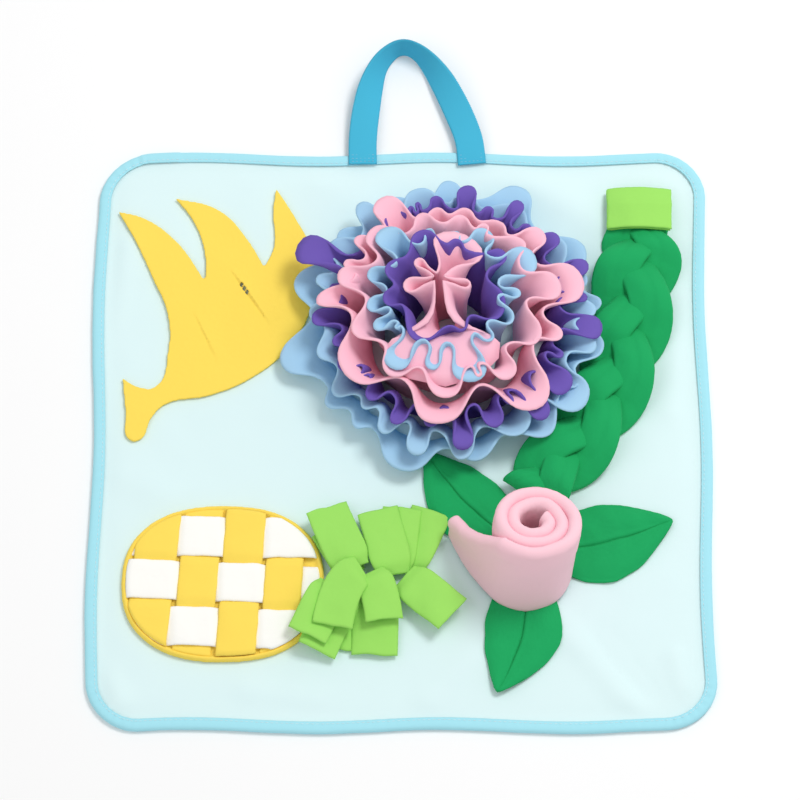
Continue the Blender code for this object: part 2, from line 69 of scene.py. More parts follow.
class Field:
    """A number that varies over a surface, usable in expressions: each operator adds a Math node."""

    def __init__(self, finish, socket):
        self.finish = finish
        self.socket = socket

    def maths(self, operation, *values):
        node = self.finish.node("ShaderNodeMath", {"operation": operation}, dict(enumerate(values)))
        return Field(self.finish, node.outputs[0])

    def __add__(self, other):
        return self.maths("ADD", self, other)

    def __mul__(self, other):
        return self.maths("MULTIPLY", self, other)

    __radd__ = __add__
    __rmul__ = __mul__


class Finish:
    """A material, its Principled shader, and one method that adds any other node."""

    def __init__(self, name, roughness, sheen=0.0, sheen_roughness=0.5, specular=0.5):
        self.material = bpy.data.materials.new(name)
        self.material.use_nodes = True
        self.tree = self.material.node_tree
        self.shader = self.tree.nodes["Principled BSDF"]
        self.shader.inputs["Roughness"].default_value = roughness
        self.shader.inputs["Sheen Weight"].default_value = sheen
        self.shader.inputs["Sheen Roughness"].default_value = sheen_roughness
        self.shader.inputs["Specular IOR Level"].default_value = specular

    def node(self, kind, settings, values):
        """A node of this kind: its settings first, then each socket's value or link."""
        made = self.tree.nodes.new(kind)
        for name, setting in settings.items():
            if name == "stops":
                ramp = made.color_ramp
                for index, (place, colour) in enumerate(setting):
                    new = index >= len(ramp.elements)
                    stop = ramp.elements.new(place) if new else ramp.elements[index]
                    stop.position = place
                    stop.color = (*colour, 1.0)
            else:
                setattr(made, name, setting)
        for name, value in values.items():
            self.feed(made.inputs[name], value)
        return made

    def feed(self, socket, value):
        source = value.socket if isinstance(value, Field) else value
        if isinstance(source, bpy.types.NodeSocket):
            self.tree.links.new(source, socket)
        elif socket.type == "RGBA":
            socket.default_value = (*source, 1.0)
        else:
            socket.default_value = source

    def field(self, kind, settings, values, output):
        return Field(self, self.node(kind, settings, values).outputs[output])

    def place(self):
        return self.node("ShaderNodeTexCoord", {}, {}).outputs["Object"]

    def speckle(self, size, detail=2.0, rough=0.55):
        """Noise of about this size in millimetres, from 0 to 1."""
        values = {"Vector": self.place(), "Scale": 1 / (size * MM), "Detail": detail, "Roughness": rough}
        return self.field("ShaderNodeTexNoise", {}, values, "Fac")

    def mix(self, factor, first, second, blend="MIX"):
        settings = {"data_type": "RGBA", "blend_type": blend}
        return self.node("ShaderNodeMix", settings, {0: factor, 6: first, 7: second}).outputs[2]

    def attribute(self, name):
        return self.field("ShaderNodeAttribute", {"attribute_name": name}, {}, "Fac")

    def between(self, value, low, high):
        """The value stretched so that low becomes 0 and high 1, and held there."""
        values = {"Value": value, "From Min": low, "From Max": high}
        return self.field("ShaderNodeMapRange", {"interpolation_type": "SMOOTHSTEP"}, values, "Result")

    def bump(self, height, strength, depth):
        values = {"Height": height, "Strength": strength, "Distance": depth * MM}
        self.feed(self.shader.inputs["Normal"], self.node("ShaderNodeBump", {}, values).outputs[0])

    def paint(self, colour):
        self.feed(self.shader.inputs["Base Color"], colour)


def lighter(colour, share):
    return tuple(value + (1 - value) * share for value in colour)


def darker(colour, share):
    return tuple(value * (1 - share) for value in colour)


def fleece(name, colour, speckled, pile, depth):
    """Brushed fleece: a curly pile with lighter tips, darker roots and worn tufts, soft clouds of painted
    shade, and a painted highlight along its cut edges.
    """
    finish = Finish(name, 0.96, sheen=0.22, sheen_roughness=0.45, specular=0.12)
    curls = finish.speckle(pile, 3.0, 0.62)
    fibres = finish.speckle(pile * 0.36, 2.0, 0.6)
    tufts = finish.speckle(pile * 4.6, 2.0, 0.5)
    painted_cloud_shade = finish.speckle(46.0, 2.0, 0.5)
    tips = finish.between(curls * 0.72 + fibres * 0.28, 0.50, 0.68)
    roots = finish.between(curls * 0.72 + fibres * 0.28, 0.50, 0.34)
    shade = finish.mix(roots * (speckled * 4.2), colour, darker(colour, 0.30))
    shade = finish.mix(tips * (speckled * 2.4), shade, lighter(colour, 0.42))
    shade = finish.mix(finish.between(tufts, 0.42, 0.70) * (speckled * 0.8), shade, lighter(colour, 0.25))
    # Painted shade: soft 46 mm clouds are darkened to stand in for the shading of gentle undulations.
    shade = finish.mix(finish.between(painted_cloud_shade, 0.35, 0.68) * 0.10, shade, darker(colour, 0.16))
    # Painted highlight: the cut edges are lightened as if they caught the light.
    shade = finish.mix(finish.attribute("cut_edge") * 0.42, shade, lighter(colour, 0.55))
    finish.paint(shade)
    finish.bump(curls * 0.62 + fibres * 0.22 + tufts * 0.35, 0.75, depth)
    return finish.material


def tape(name, colour):
    """Soft knitted binding: fine ribs across the tape, puckers and a slight sheen."""
    finish = Finish(name, 0.62, sheen=0.18, specular=0.3)
    lay = finish.node("ShaderNodeUVMap", {"uv_map": "lay"}, {}).outputs[0]
    settings = {"wave_type": "BANDS", "bands_direction": "X"}
    rib_size = {"Vector": lay, "Scale": 0.42, "Distortion": 0.6}
    ribs = finish.field("ShaderNodeTexWave", settings, rib_size, "Fac")
    worn = finish.speckle(9.0)
    threads = finish.speckle(0.7)
    shade = finish.mix(ribs * 0.14, colour, darker(colour, 0.20))
    shade = finish.mix(finish.between(worn, 0.45, 0.7) * 0.3, shade, lighter(colour, 0.22))
    shade = finish.mix(threads * 0.12, shade, lighter(colour, 0.4))
    finish.paint(shade)
    finish.bump(ribs * 0.5 + threads * 0.3 + worn * 0.6, 0.55, 0.5)
    return finish.material


def webbing(name, colour):
    """Woven cotton webbing: warp ribs along the strap crossed by fine weft picks."""
    finish = Finish(name, 0.72, sheen=0.1, specular=0.3)
    lay = finish.node("ShaderNodeUVMap", {"uv_map": "lay"}, {}).outputs[0]
    warp_run = {"wave_type": "BANDS", "bands_direction": "Y"}
    weft_run = {"wave_type": "BANDS", "bands_direction": "X"}
    warp_size = {"Vector": lay, "Scale": 0.34, "Distortion": 0.5}
    weft_size = {"Vector": lay, "Scale": 0.40, "Distortion": 0.8}
    warp = finish.field("ShaderNodeTexWave", warp_run, warp_size, "Fac")
    weft = finish.field("ShaderNodeTexWave", weft_run, weft_size, "Fac")
    threads = finish.speckle(0.8)
    worn = finish.speckle(14.0)
    shade = finish.mix(warp * weft * 0.30, darker(colour, 0.10), lighter(colour, 0.16))
    shade = finish.mix(finish.between(threads, 0.5, 0.75) * 0.5, shade, lighter(colour, 0.25))
    shade = finish.mix(finish.between(worn, 0.4, 0.7) * 0.22, shade, darker(colour, 0.22))
    finish.paint(shade)
    finish.bump(warp * 0.4 + weft * 0.45 + threads * 0.35, 0.6, 0.45)
    return finish.material


def thread(name, colour):
    finish = Finish(name, 0.6, sheen=0.1, specular=0.4)
    twist = finish.speckle(0.5)
    finish.paint(finish.mix(twist, darker(colour, 0.1), lighter(colour, 0.2)))
    finish.bump(twist, 0.4, 0.2)
    return finish.material


def floor_paper(name, colour):
    finish = Finish(name, 0.9, specular=0.1)
    finish.paint(finish.mix(finish.speckle(120.0), colour, darker(colour, 0.01)))
    return finish.material


def cloth_material(slot):
    """The material of one of the record's slots, made the first time that it is asked for."""
    found = bpy.data.materials.get(slot)
    if found:
        return found
    colours = bpy.context.scene.mat_colours
    colour = tuple(getattr(colours, slot))
    if slot == "binding_tape":
        return tape(slot, colour)
    if slot == "webbing":
        return webbing(slot, colour)
    speckled, pile, depth = FLEECE_GRAIN[slot]
    return fleece(slot, colour, speckled, pile, depth)


# slot: how strongly the pile is speckled, its curl size in mm, and its depth in mm
FLEECE_GRAIN = {
    "panel_fleece": (0.05, 1.6, 0.55),
    "yellow_fleece": (0.08, 1.5, 0.6),
    "cream_fleece": (0.04, 1.5, 0.5),
    "lime_fleece": (0.13, 1.8, 0.8),
    "green_fleece": (0.17, 1.7, 0.9),
    "rose_fleece": (0.07, 1.6, 0.7),
    "pink_fleece": (0.07, 1.6, 0.7),
    "powder_blue_fleece": (0.08, 1.6, 0.7),
    "purple_fleece": (0.11, 1.6, 0.8),
}


# ------------------------------------------------------------------ shape building


def smooth(value):
    """0 below 0, 1 above 1, and a soft step between."""
    held = min(max(value, 0.0), 1.0)
    return held * held * (3 - 2 * held)


def spline_at(rows, t):
    """The smooth curve through the rows (tuples of numbers) at t in 0..1, as a tuple."""
    place = min(max(t, 0.0), 1.0) * (len(rows) - 1)
    index = min(int(place), len(rows) - 2)
    part = place - index
    before = rows[max(index - 1, 0)]
    start, end = rows[index], rows[index + 1]
    after = rows[min(index + 2, len(rows) - 1)]
    found = []
    for a, b, c, d in zip(before, start, end, after):
        pull_in, pull_out = (c - a) / 2, (d - b) / 2
        bend = 3 * (c - b) - 2 * pull_in - pull_out
        twist = 2 * (b - c) + pull_in + pull_out
        found.append(b + pull_in * part + bend * part**2 + twist * part**3)
    return tuple(found)


def ripple(point, size, seed=0.0):
    """Smooth noise from about -0.7 to 0.7 at a place in mm, with lumps of this size."""
    return noise.noise(Vector(point) / size + Vector((seed, seed * 1.7, -seed)))


def grid_mesh(name, columns, rows, place, lay=(1.0, 1.0)):
    """A grid whose points go to place(u, v) in mm. Edges that meet are joined.

    The UV map "lay" holds where each point lies on the cut cloth, in mm.
    """
    bm = bmesh.new()
    bmesh.ops.create_grid(bm, x_segments=columns, y_segments=rows, size=0.5)
    uv = bm.loops.layers.uv.new("lay")
    for face in bm.faces:
        for loop in face.loops:
            u, v = loop.vert.co.x + 0.5, loop.vert.co.y + 0.5
            loop[uv].uv = (u * lay[0], v * lay[1])
    for vert in bm.verts:
        vert.co = Vector(place(vert.co.x + 0.5, vert.co.y + 0.5)) * MM
    bmesh.ops.remove_doubles(bm, verts=bm.verts, dist=0.0005 * MM)
    mesh = bpy.data.meshes.new(name)
    bm.to_mesh(mesh)
    bm.free()
    return mesh


def add_piece(name, mesh, slot, *nodes):
    """Puts a piece of the mat in the scene: it rides on the root body and stands for CAD nodes."""
    mesh.materials.append(cloth_material(slot))
    mesh.shade_smooth()
    piece = bpy.data.objects.new(name, mesh)
    bpy.context.scene.collection.objects.link(piece)
    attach(piece, "root")
    if nodes:
        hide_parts(*nodes)
    return piece


def thicken(piece, thickness, rim=0.35, offset=0.0):
    """Gives a sheet its thickness, thinner and rounder along its cut edges."""
    mesh = piece.data
    bm = bmesh.new()
    bm.from_mesh(mesh)
    outer = {vert.index for vert in bm.verts if vert.is_boundary}
    second = {
        edge.other_vert(vert).index
        for vert in bm.verts
        if vert.index in outer
        for edge in vert.link_edges
    } - outer
    count = len(bm.verts)
    bm.free()
    body = piece.vertex_groups.new(name="body")
    inner = [index for index in range(count) if index not in outer and index not in second]
    body.add(inner, 1.0, "REPLACE")
    body.add(list(second), 0.86, "REPLACE")
    body.add(list(outer), 0.0, "REPLACE")
    # Marks the cut edges, where the fleece finish paints a highlight.
    cut = mesh.attributes.new("cut_edge", "FLOAT", "POINT")
    cut.data.foreach_set("value", [1.0 if index in outer else 0.0 for index in range(count)])
    solid = piece.modifiers.new("Thickness", "SOLIDIFY")
    solid.thickness = thickness * MM
    solid.offset = offset
    solid.vertex_group = "body"
    solid.thickness_vertex_group = rim


def roughen(piece, strength, size):
    """Raises the pile a little, so that edges and outlines look soft."""
    pile = bpy.data.textures.new(f"{piece.name}_pile", "CLOUDS")
    pile.noise_scale = size * MM
    pile.noise_depth = 1
    lift = piece.modifiers.new("Pile", "DISPLACE")
    lift.texture = pile
    lift.texture_coords = "LOCAL"
    lift.mid_level = 0.5
    lift.strength = strength * MM


def remeshed_slab(name, outlines, low, thickness, voxel, shape):
    """A flat cut piece with soft edges: (x, y, is_corner) outlines in mm, holes after the first."""
    curve = bpy.data.curves.new(name, "CURVE")
    curve.dimensions = "2D"
    curve.fill_mode = "BOTH"
    curve.extrude = thickness / 2 * MM
    curve.resolution_u = 16
    for outline in outlines:
        spline = curve.splines.new("BEZIER")
        spline.bezier_points.add(len(outline) - 1)
        spline.use_cyclic_u = True
        for point, (x, y, is_corner) in zip(spline.bezier_points, outline):
            point.co = (x * MM, y * MM, 0)
            kind = "VECTOR" if is_corner else "AUTO"
            point.handle_left_type = kind
            point.handle_right_type = kind
    carrier = bpy.data.objects.new(name + "_cut", curve)
    bpy.context.scene.collection.objects.link(carrier)
    even = carrier.modifiers.new("Even", "REMESH")
    even.mode = "VOXEL"
    even.voxel_size = voxel * MM
    even.use_smooth_shade = True
    soften = carrier.modifiers.new("Soften", "SMOOTH")
    soften.factor = 0.5
    soften.iterations = 3
    bpy.context.view_layer.update()
    ready = carrier.evaluated_get(bpy.context.evaluated_depsgraph_get())
    mesh = bpy.data.meshes.new_from_object(ready)
    mesh.name = name
    bpy.data.objects.remove(carrier, do_unlink=True)
    mesh.materials.clear()
    for vert in mesh.vertices:
        x, y, z = vert.co / MM
        vert.co = Vector(shape(x, y, z + low + thickness / 2)) * MM
    return mesh


def run_of_stitches(name, slot, path, length, gap, radius, colour_lift):
    """Separate stitches along a path: path(run) gives (point, direction) in mm, or None at its end."""
    bm = bmesh.new()
    run = gap
    while True:
        found = path(run)
        if found is None:
            break
        point, along = found
        turn = Vector(along).to_track_quat("X", "Z").to_matrix().to_4x4()
        shape = Matrix.Diagonal((length / 2 * MM, radius * MM, radius * MM, 1.0))
        place = Matrix.Translation(Vector(point) * MM) @ turn @ shape
        bmesh.ops.create_uvsphere(bm, u_segments=6, v_segments=4, radius=1.0, matrix=place)
        run += length + gap
    mesh = bpy.data.meshes.new(name)
    bm.to_mesh(mesh)
    bm.free()
    piece = add_piece(name, mesh, slot)
    stitch_name = f"{slot}_thread"
    colour = tuple(getattr(bpy.context.scene.mat_colours, slot))
    finish = bpy.data.materials.get(stitch_name) or thread(stitch_name, lighter(colour, colour_lift))
    mesh.materials[0] = finish
    return piece


# ------------------------------------------------------------------ panel and edge

# Ridges of the panel between its sewn pieces: ends x, y, x, y, half width and rise, in mm
PANEL_FOLDS = (
    (111, -144, 170, -214, 11, 2.6),
    (144, -157, 176, -203, 9, -1.8),
    (196, -172, 202, -194, 8, 2.2),
    (-219, -176, -199, -209, 9, 2.4),
    (76, 219, 152, 168, 16, 2.8),
    (-60, 205, -30, 190, 14, 1.6),
    (-214, -30, -170, -46, 12, 1.4),
    (20, -205, 52, -170, 12, 1.7),
    (196, 20, 208, 110, 10, 1.6),
    (-214, 90, -204, 150, 9, 1.5),
    (-110, -196, -60, -204, 10, 1.3),
)


def outline_parts():
    straight_x = MAT_WIDTH - 2 * CORNER_RADIUS
    straight_y = MAT_LENGTH - 2 * CORNER_RADIUS
    arc = math.pi / 2 * CORNER_RADIUS
    return straight_x, straight_y, arc


def outline_length():
    straight_x, straight_y, arc = outline_parts()
    return 2 * (straight_x + straight_y) + 4 * arc


def sway(x, y):
    """The outline's slight waviness, as on the frame."""
    return (
        x + EDGE_SWAY * math.sin(4 * math.pi * y / MAT_LENGTH + 1.9),
        y + EDGE_SWAY * math.sin(5 * math.pi * x / MAT_WIDTH + 0.6),
    )


def outline_at(run, inset):
    """A point this far round the outline, counter-clockwise from +X, moved inwards; and its normal."""
    straight_x, straight_y, arc = outline_parts()
    corner_x = MAT_WIDTH / 2 - CORNER_RADIUS
    corner_y = MAT_LENGTH / 2 - CORNER_RADIUS
    left = run % outline_length()
    corners = ((1, 1), (-1, 1), (-1, -1), (1, -1))
    for quarter, (sign_x, sign_y) in enumerate(corners):
        centre = Vector((sign_x * corner_x, sign_y * corner_y))
        start = math.pi / 2 * quarter
        if left < arc:
            angle = start + left / CORNER_RADIUS
            normal = Vector((math.cos(angle), math.sin(angle)))
            point = centre + normal * (CORNER_RADIUS - inset)
            break
        left -= arc
        straight = straight_x if quarter % 2 == 0 else straight_y
        normal = Vector((math.cos(start + math.pi / 2), math.sin(start + math.pi / 2)))
        ahead = Vector((-normal.y, normal.x))
        if left < straight:
            point = centre + normal * (CORNER_RADIUS - inset) + ahead * left
            break
        left -= straight
    return Vector(sway(point.x, point.y)), normal


def swell(x, y):
    """How far the soft panel rises at x, y, in mm: it dies out at the bound edge."""
    rise = 0.75 + 1.1 * ripple((x, y, 0), 58) + 0.55 * ripple((x, y, 0), 24, 3.1)
    for x0, y0, x1, y1, half, high in PANEL_FOLDS:
        start, end = Vector((x0, y0)), Vector((x1, y1))
        ahead = end - start
        share = min(max((Vector((x, y)) - start).dot(ahead) / ahead.length_squared, 0.0), 1.0)
        away = (Vector((x, y)) - start - ahead * share).length / half
        rise += high * math.exp(-away * away)
    edge = min(MAT_WIDTH / 2 - abs(x), MAT_LENGTH / 2 - abs(y))
    return max(rise, 0.0) * smooth((edge - 6) / 20)


def panel_point(a, b):
    """Where the point (a, b) of a square from -1 to 1 lies on the panel's rounded rectangle."""
    reach = max(abs(a), abs(b))
    if reach == 0:
        return 0.0, 0.0
    half_x, half_y = MAT_WIDTH / 2 - PANEL_INSET, MAT_LENGTH / 2 - PANEL_INSET
    radius = CORNER_RADIUS - PANEL_INSET
    x, y = a / reach * half_x, b / reach * half_y
    corner = Vector((math.copysign(half_x - radius, x), math.copysign(half_y - radius, y)))
    out = Vector((x, y)) - corner
    if out.x * x > 0 and out.y * y > 0 and out.length > radius:
        x, y = corner + out.normalized() * radius
    return sway(x * reach, y * reach)


class SNUFFLE_OT_panel(bpy.types.Operator):
    """The soft pale panel, with the shallow ridges that its sewn pieces pull into it"""

    bl_idname = "snuffle.panel"
    bl_label = "Fleece panel"

    def execute(self, context):
        def place(u, v):
            x, y = panel_point(2 * u - 1, 2 * v - 1)
            edge = min(MAT_WIDTH / 2 - abs(x), MAT_LENGTH / 2 - abs(y))
            lift = 1.1 * (1 - smooth((edge - 4) / 10))
            return (x, y, PANEL_THICKNESS / 2 + 0.1 + lift + swell(x, y))

        mesh = grid_mesh("fleece_panel", 156, 158, place, (MAT_WIDTH, MAT_LENGTH))
        panel = add_piece("fleece_panel_cloth", mesh, "panel_fleece", "fleece_panel")
        solid = panel.modifiers.new("Thickness", "SOLIDIFY")
        solid.thickness = PANEL_THICKNESS * MM
        solid.offset = 0.0
        return {"FINISHED"}


# Section of the folded tape from its lower free edge round to its upper one: inset and height in mm
TAPE_SECTION = (
    (8.2, 0.55),
    (6.0, 0.42),
    (3.2, 0.42),
    (1.5, 0.55),
    (0.5, 1.1),
    (0.1, 2.2),
    (0.3, 3.4),
    (1.3, 4.4),
    (3.0, 4.75),
    (5.4, 4.6),
    (7.0, 4.3),
    (8.2, 4.25),
)
# The tape's ends overlap here: its middle along the outline and half its length, in mm
TAPE_JOIN = (428, 15)
TAPE_THICKNESS = 0.8
PUCKERS = 230
STITCH_INSET = 6.3
STITCH_PITCH = 3


class SNUFFLE_OT_binding(bpy.types.Operator):
    """The binding tape folded over the panel's edge, its overlapped join and its two rows of stitches"""

    bl_idname = "snuffle.binding"
    bl_label = "Edge binding"

    def execute(self, context):
        total = outline_length()

        def on_corner(run):
            straight_x, straight_y, arc = outline_parts()
            left = run % (total / 2)
            if left > arc + straight_x:
                left -= arc + straight_x
            return smooth(left / 8) * smooth((arc - left) / 8)

        def lie(run, inset, height):
            point, normal = outline_at(run, inset)
            swing = math.sin(2 * math.pi * PUCKERS * run / total + 2.2 * ripple((run, 0, 0), 17))
            depth = 0.10 + 0.20 * on_corner(run) + 0.10 * ripple((run, 40, 0), 30)
            upper = 1.0 if height > 2 else 0.0
            soft = 0.7 * ripple((point.x, point.y, height * 4), 26)
            rise = height + upper * (depth * swing * smooth(inset / 4) + 0.25 * soft)
            joined = abs(run - TAPE_JOIN[0]) / TAPE_JOIN[1]
            rise += 0.75 * upper * smooth((1.0 - joined) * 12)
            wobble = -0.5 * soft + 0.25 * depth * swing
            shifted = point + normal * wobble * smooth((8.2 - inset) / 5)
            return (shifted.x, shifted.y, max(rise, 0.42))

        def place(u, v):
            inset, height = spline_at(TAPE_SECTION, v)
            return lie(u % 1.0 * total, inset, height)

        mesh = grid_mesh("edge_binding", 1000, 20, place, (total, 22.0))
        binding = add_piece("edge_binding_tape", mesh, "binding_tape", "edge_binding")
        solid = binding.modifiers.new("Thickness", "SOLIDIFY")
        solid.thickness = TAPE_THICKNESS * MM
        solid.offset = 0.0
        for name, level in (("upper", 4.95), ("lower", 0.28)):

            def path(run, level=level):
                if run > total - STITCH_PITCH:
                    return None
                x, y, z = lie(run, STITCH_INSET, level)
                ahead, _ = outline_at(run + 1, STITCH_INSET)
                behind, _ = outline_at(run - 1, STITCH_INSET)
                height = z if level > 2 else level
                return (x, y, height), (*(ahead - behind), 0)

            stitches = run_of_stitches(
                f"binding_stitches_{name}", "binding_tape", path, 2.6, 1.0, 0.27, 0.45
            )
        total * MM
        return {"FINISHED"}


# ------------------------------------------------------------------ handle

# x, y and z of the strap's middle in mm, and how far it has rolled up onto its edge in degrees
HANDLE_COURSE = (
    (-28.5, 219, 6.1, 0),
    (-28.5, 239, 6.3, 2),
    (-26.5, 260, 8.0, 13),
    (-22.5, 281, 10.2, 36),
    (-16.0, 299, 11.2, 62),
    (-6.5, 310.5, 11.4, 78),
    (2.5, 314.0, 11.4, 84),
    (12.0, 310.0, 11.4, 78),
    (22.0, 299.5, 11.0, 60),
    (32.5, 283, 10.0, 36),
    (43.0, 261, 8.0, 14),
    (50.5, 240, 6.3, 2),
    (53.0, 219, 6.1, 0),
)
WEBBING_WIDTH = 20.5
WEBBING_THICKNESS = 1.5
WEBBING_LENGTH = 262.0
SELVEDGE_TOOTH = 0.26
FOOT_ROW = 18


def strap_point(u, v):
    """A point of the strap: u along it and v across it, from 0 to 1."""
    x, y, z, roll = spline_at(HANDLE_COURSE, u)
    ahead = spline_at(HANDLE_COURSE, min(u + 0.01, 1.0))
    behind = spline_at(HANDLE_COURSE, max(u - 0.01, 0.0))
    along = Vector((ahead[0] - behind[0], ahead[1] - behind[1], 0)).normalized()
    outwards = Vector((-along.y, along.x, 0))
    tilt = math.radians(roll)
    across = math.cos(tilt) * outwards + Vector((0, 0, math.sin(tilt)))
    return Vector((x, y, z)) + across * (v - 0.5) * WEBBING_WIDTH, along, across


class SNUFFLE_OT_handle(bpy.types.Operator):
    """The webbing carry handle, with its serrated selvedges and sewn feet"""

    bl_idname = "snuffle.handle"
    bl_label = "Carry handle"

    def execute(self, context):
        columns, rows = 440, 14
        length = WEBBING_LENGTH

        def place(u, v):
            tooth = SELVEDGE_TOOTH * (-1) ** round(u * columns)
            edge = 1.0 if v in (0.0, 1.0) else 0.0
            point, along, across = strap_point(u, v)
            point += across * edge * tooth * math.copysign(1, v - 0.5)
            foot = 1 - smooth(min(u, 1 - u) * length / 9)
            cup = 0.5 * math.sin(math.pi * v) + 0.3 * ripple(point, 20)
            point.z += cup * (1 - foot)
            return point

        mesh = grid_mesh("carry_handle", columns, rows, place, (length, WEBBING_WIDTH))
        handle = add_piece("carry_handle_strap", mesh, "webbing", "carry_handle")
        solid = handle.modifiers.new("Thickness", "SOLIDIFY")
        solid.thickness = WEBBING_THICKNESS * MM
        solid.offset = 0.0
        for name, foot in (("left", 0.0), ("right", 1.0)):

            def path(run, foot=foot):
                if run > 3 * FOOT_ROW:
                    return None
                row, across = divmod(run, FOOT_ROW)
                u = abs(foot - (0.012 + 0.012 * row))
                point, along, aside = strap_point(u, (1.6 + across) / WEBBING_WIDTH)
                return point + Vector((0, 0, 0.85)), aside

            run_of_stitches(f"foot_stitches_{name}", "webbing", path, 2.0, 1.0, 0.3, 0.12)
        return {"FINISHED"}


# ------------------------------------------------------------------ flat fruit bunch

# x, y in mm and whether the outline turns a sharp corner there: three fruits and their stalk
BUNCH_OUTLINE = (
    (-210, 180, True),
    (-188, 173, False),
    (-166, 155, False),
    (-144, 122, True),
    (-146, 150, False),
    (-155, 174, False),
    (-168, 191, True),
    (-136, 182, False),
    (-113, 156, False),
    (-101, 134, True),
    (-94, 152, False),
    (-95, 180, False),
    (-93, 199, True),
    (-79, 176, False),
    (-66, 148, False),
    (-64, 112, False),
    (-79, 74, False),
    (-108, 46, False),
    (-140, 31, False),
    (-172, 24, False),
    (-182, 13, False),
    (-190, -4, False),
    (-198, -4, False),
    (-201, 18, False),
    (-204, 45, True),
    (-192, 38, False),
    (-180, 38, False),
    (-171, 66, False),
    (-172, 97, False),
    (-184, 127, False),
    (-196, 154, False),
)
# Ends of each slit in mm, how wide it gapes, and how high its right lip lifts
BUNCH_SLITS = (
    ((-154, 101), (-133, 55), 1.0, 1.6),
    ((-127, 134), (-96, 87), 2.0, 3.4),
)


def slit_outline(start, end, gape):
    run = Vector(end) - Vector(start)
    aside = Vector((run.y, -run.x)).normalized()
    near = Vector(start) + run * 0.3
    far = Vector(start) + run * 0.6
    return (
        (*start, True),
        (*(near + aside * gape / 2), False),
        (*(far + aside * gape / 3), False),
        (*end, True),
        (*(far - aside * gape / 3), False),
        (*(near - aside * gape / 2), False),
    )


class SNUFFLE_OT_fruit_bunch(bpy.types.Operator):
    """The flat fruit bunch, cut in one piece, with two slits whose lips lift"""

    bl_idname = "snuffle.fruit_bunch"
    bl_label = "Fruit bunch"

    def execute(self, context):
        def shape(x, y, z):
            lift = 0.3 + 0.5 * ripple((x, y, 5), 30)
            for start, end, _, high in BUNCH_SLITS:
                run = Vector(end) - Vector(start)
                from_start = Vector((x, y)) - Vector(start)
                share = from_start.dot(run) / run.length_squared
                aside = from_start.dot(Vector((-run.y, run.x)).normalized())
                along = math.sin(math.pi * min(max(share, 0.0), 1.0))
                lip = math.exp(-abs(aside) / 7.0)
                lift += along * lip * (high if aside > 0 else high * 0.25)
            return x, y, z + lift + swell(x, y)

        outlines = [BUNCH_OUTLINE] + [slit_outline(*row[:3]) for row in BUNCH_SLITS]
        mesh = remeshed_slab("fruit_bunch", outlines, BED, 2.2, 1.05, shape)
        bunch = add_piece("fruit_bunch_cloth", mesh, "yellow_fleece", "fruit_bunch")
        roughen(bunch, 0.35, 2.2)
        return {"FINISHED"}


# ------------------------------------------------------------------ woven oval

OVAL_CENTRE = (-128.0, -116.5)
OVAL_RADII = (73.0, 60.0)
OVAL_POWER = 2.35
OVAL_BORDER = 3.4
# name, middle, width and tilt (sideways mm per mm) of each strip, in mm
UPRIGHT_STRIPS = (
    ("yellow_strip_1", -178.5, 30.5, 0.09),
    ("yellow_strip_2", -146.0, 28.0, 0.07),
    ("yellow_strip_3", -115.0, 28.5, 0.06),
    ("yellow_strip_4", -84.5, 27.0, 0.06),
)
LEVEL_STRIPS = (
    ("white_strip_3", -151.5, 29.5, -0.04),
    ("white_strip_2", -116.5, 29.5, -0.04),
    ("white_strip_1", -81.5, 30.5, -0.02),
)
UNDER_LEVEL, OVER_LEVEL = 5.9, 8.6
# The base's raised rim: its height, how far in it lies and half its width, in mm
WELT_RISE, WELT_INSET, WELT_HALF = 2.6, 2.2, 1.9


def oval_reach(offset, across, along, inset):
    """Half the oval's length at this offset from its middle, one way across the other."""
    share = min(abs(offset) / (across - inset), 1.0)
    return (along - inset) * (1 - share**OVAL_POWER) ** (1 / OVAL_POWER)


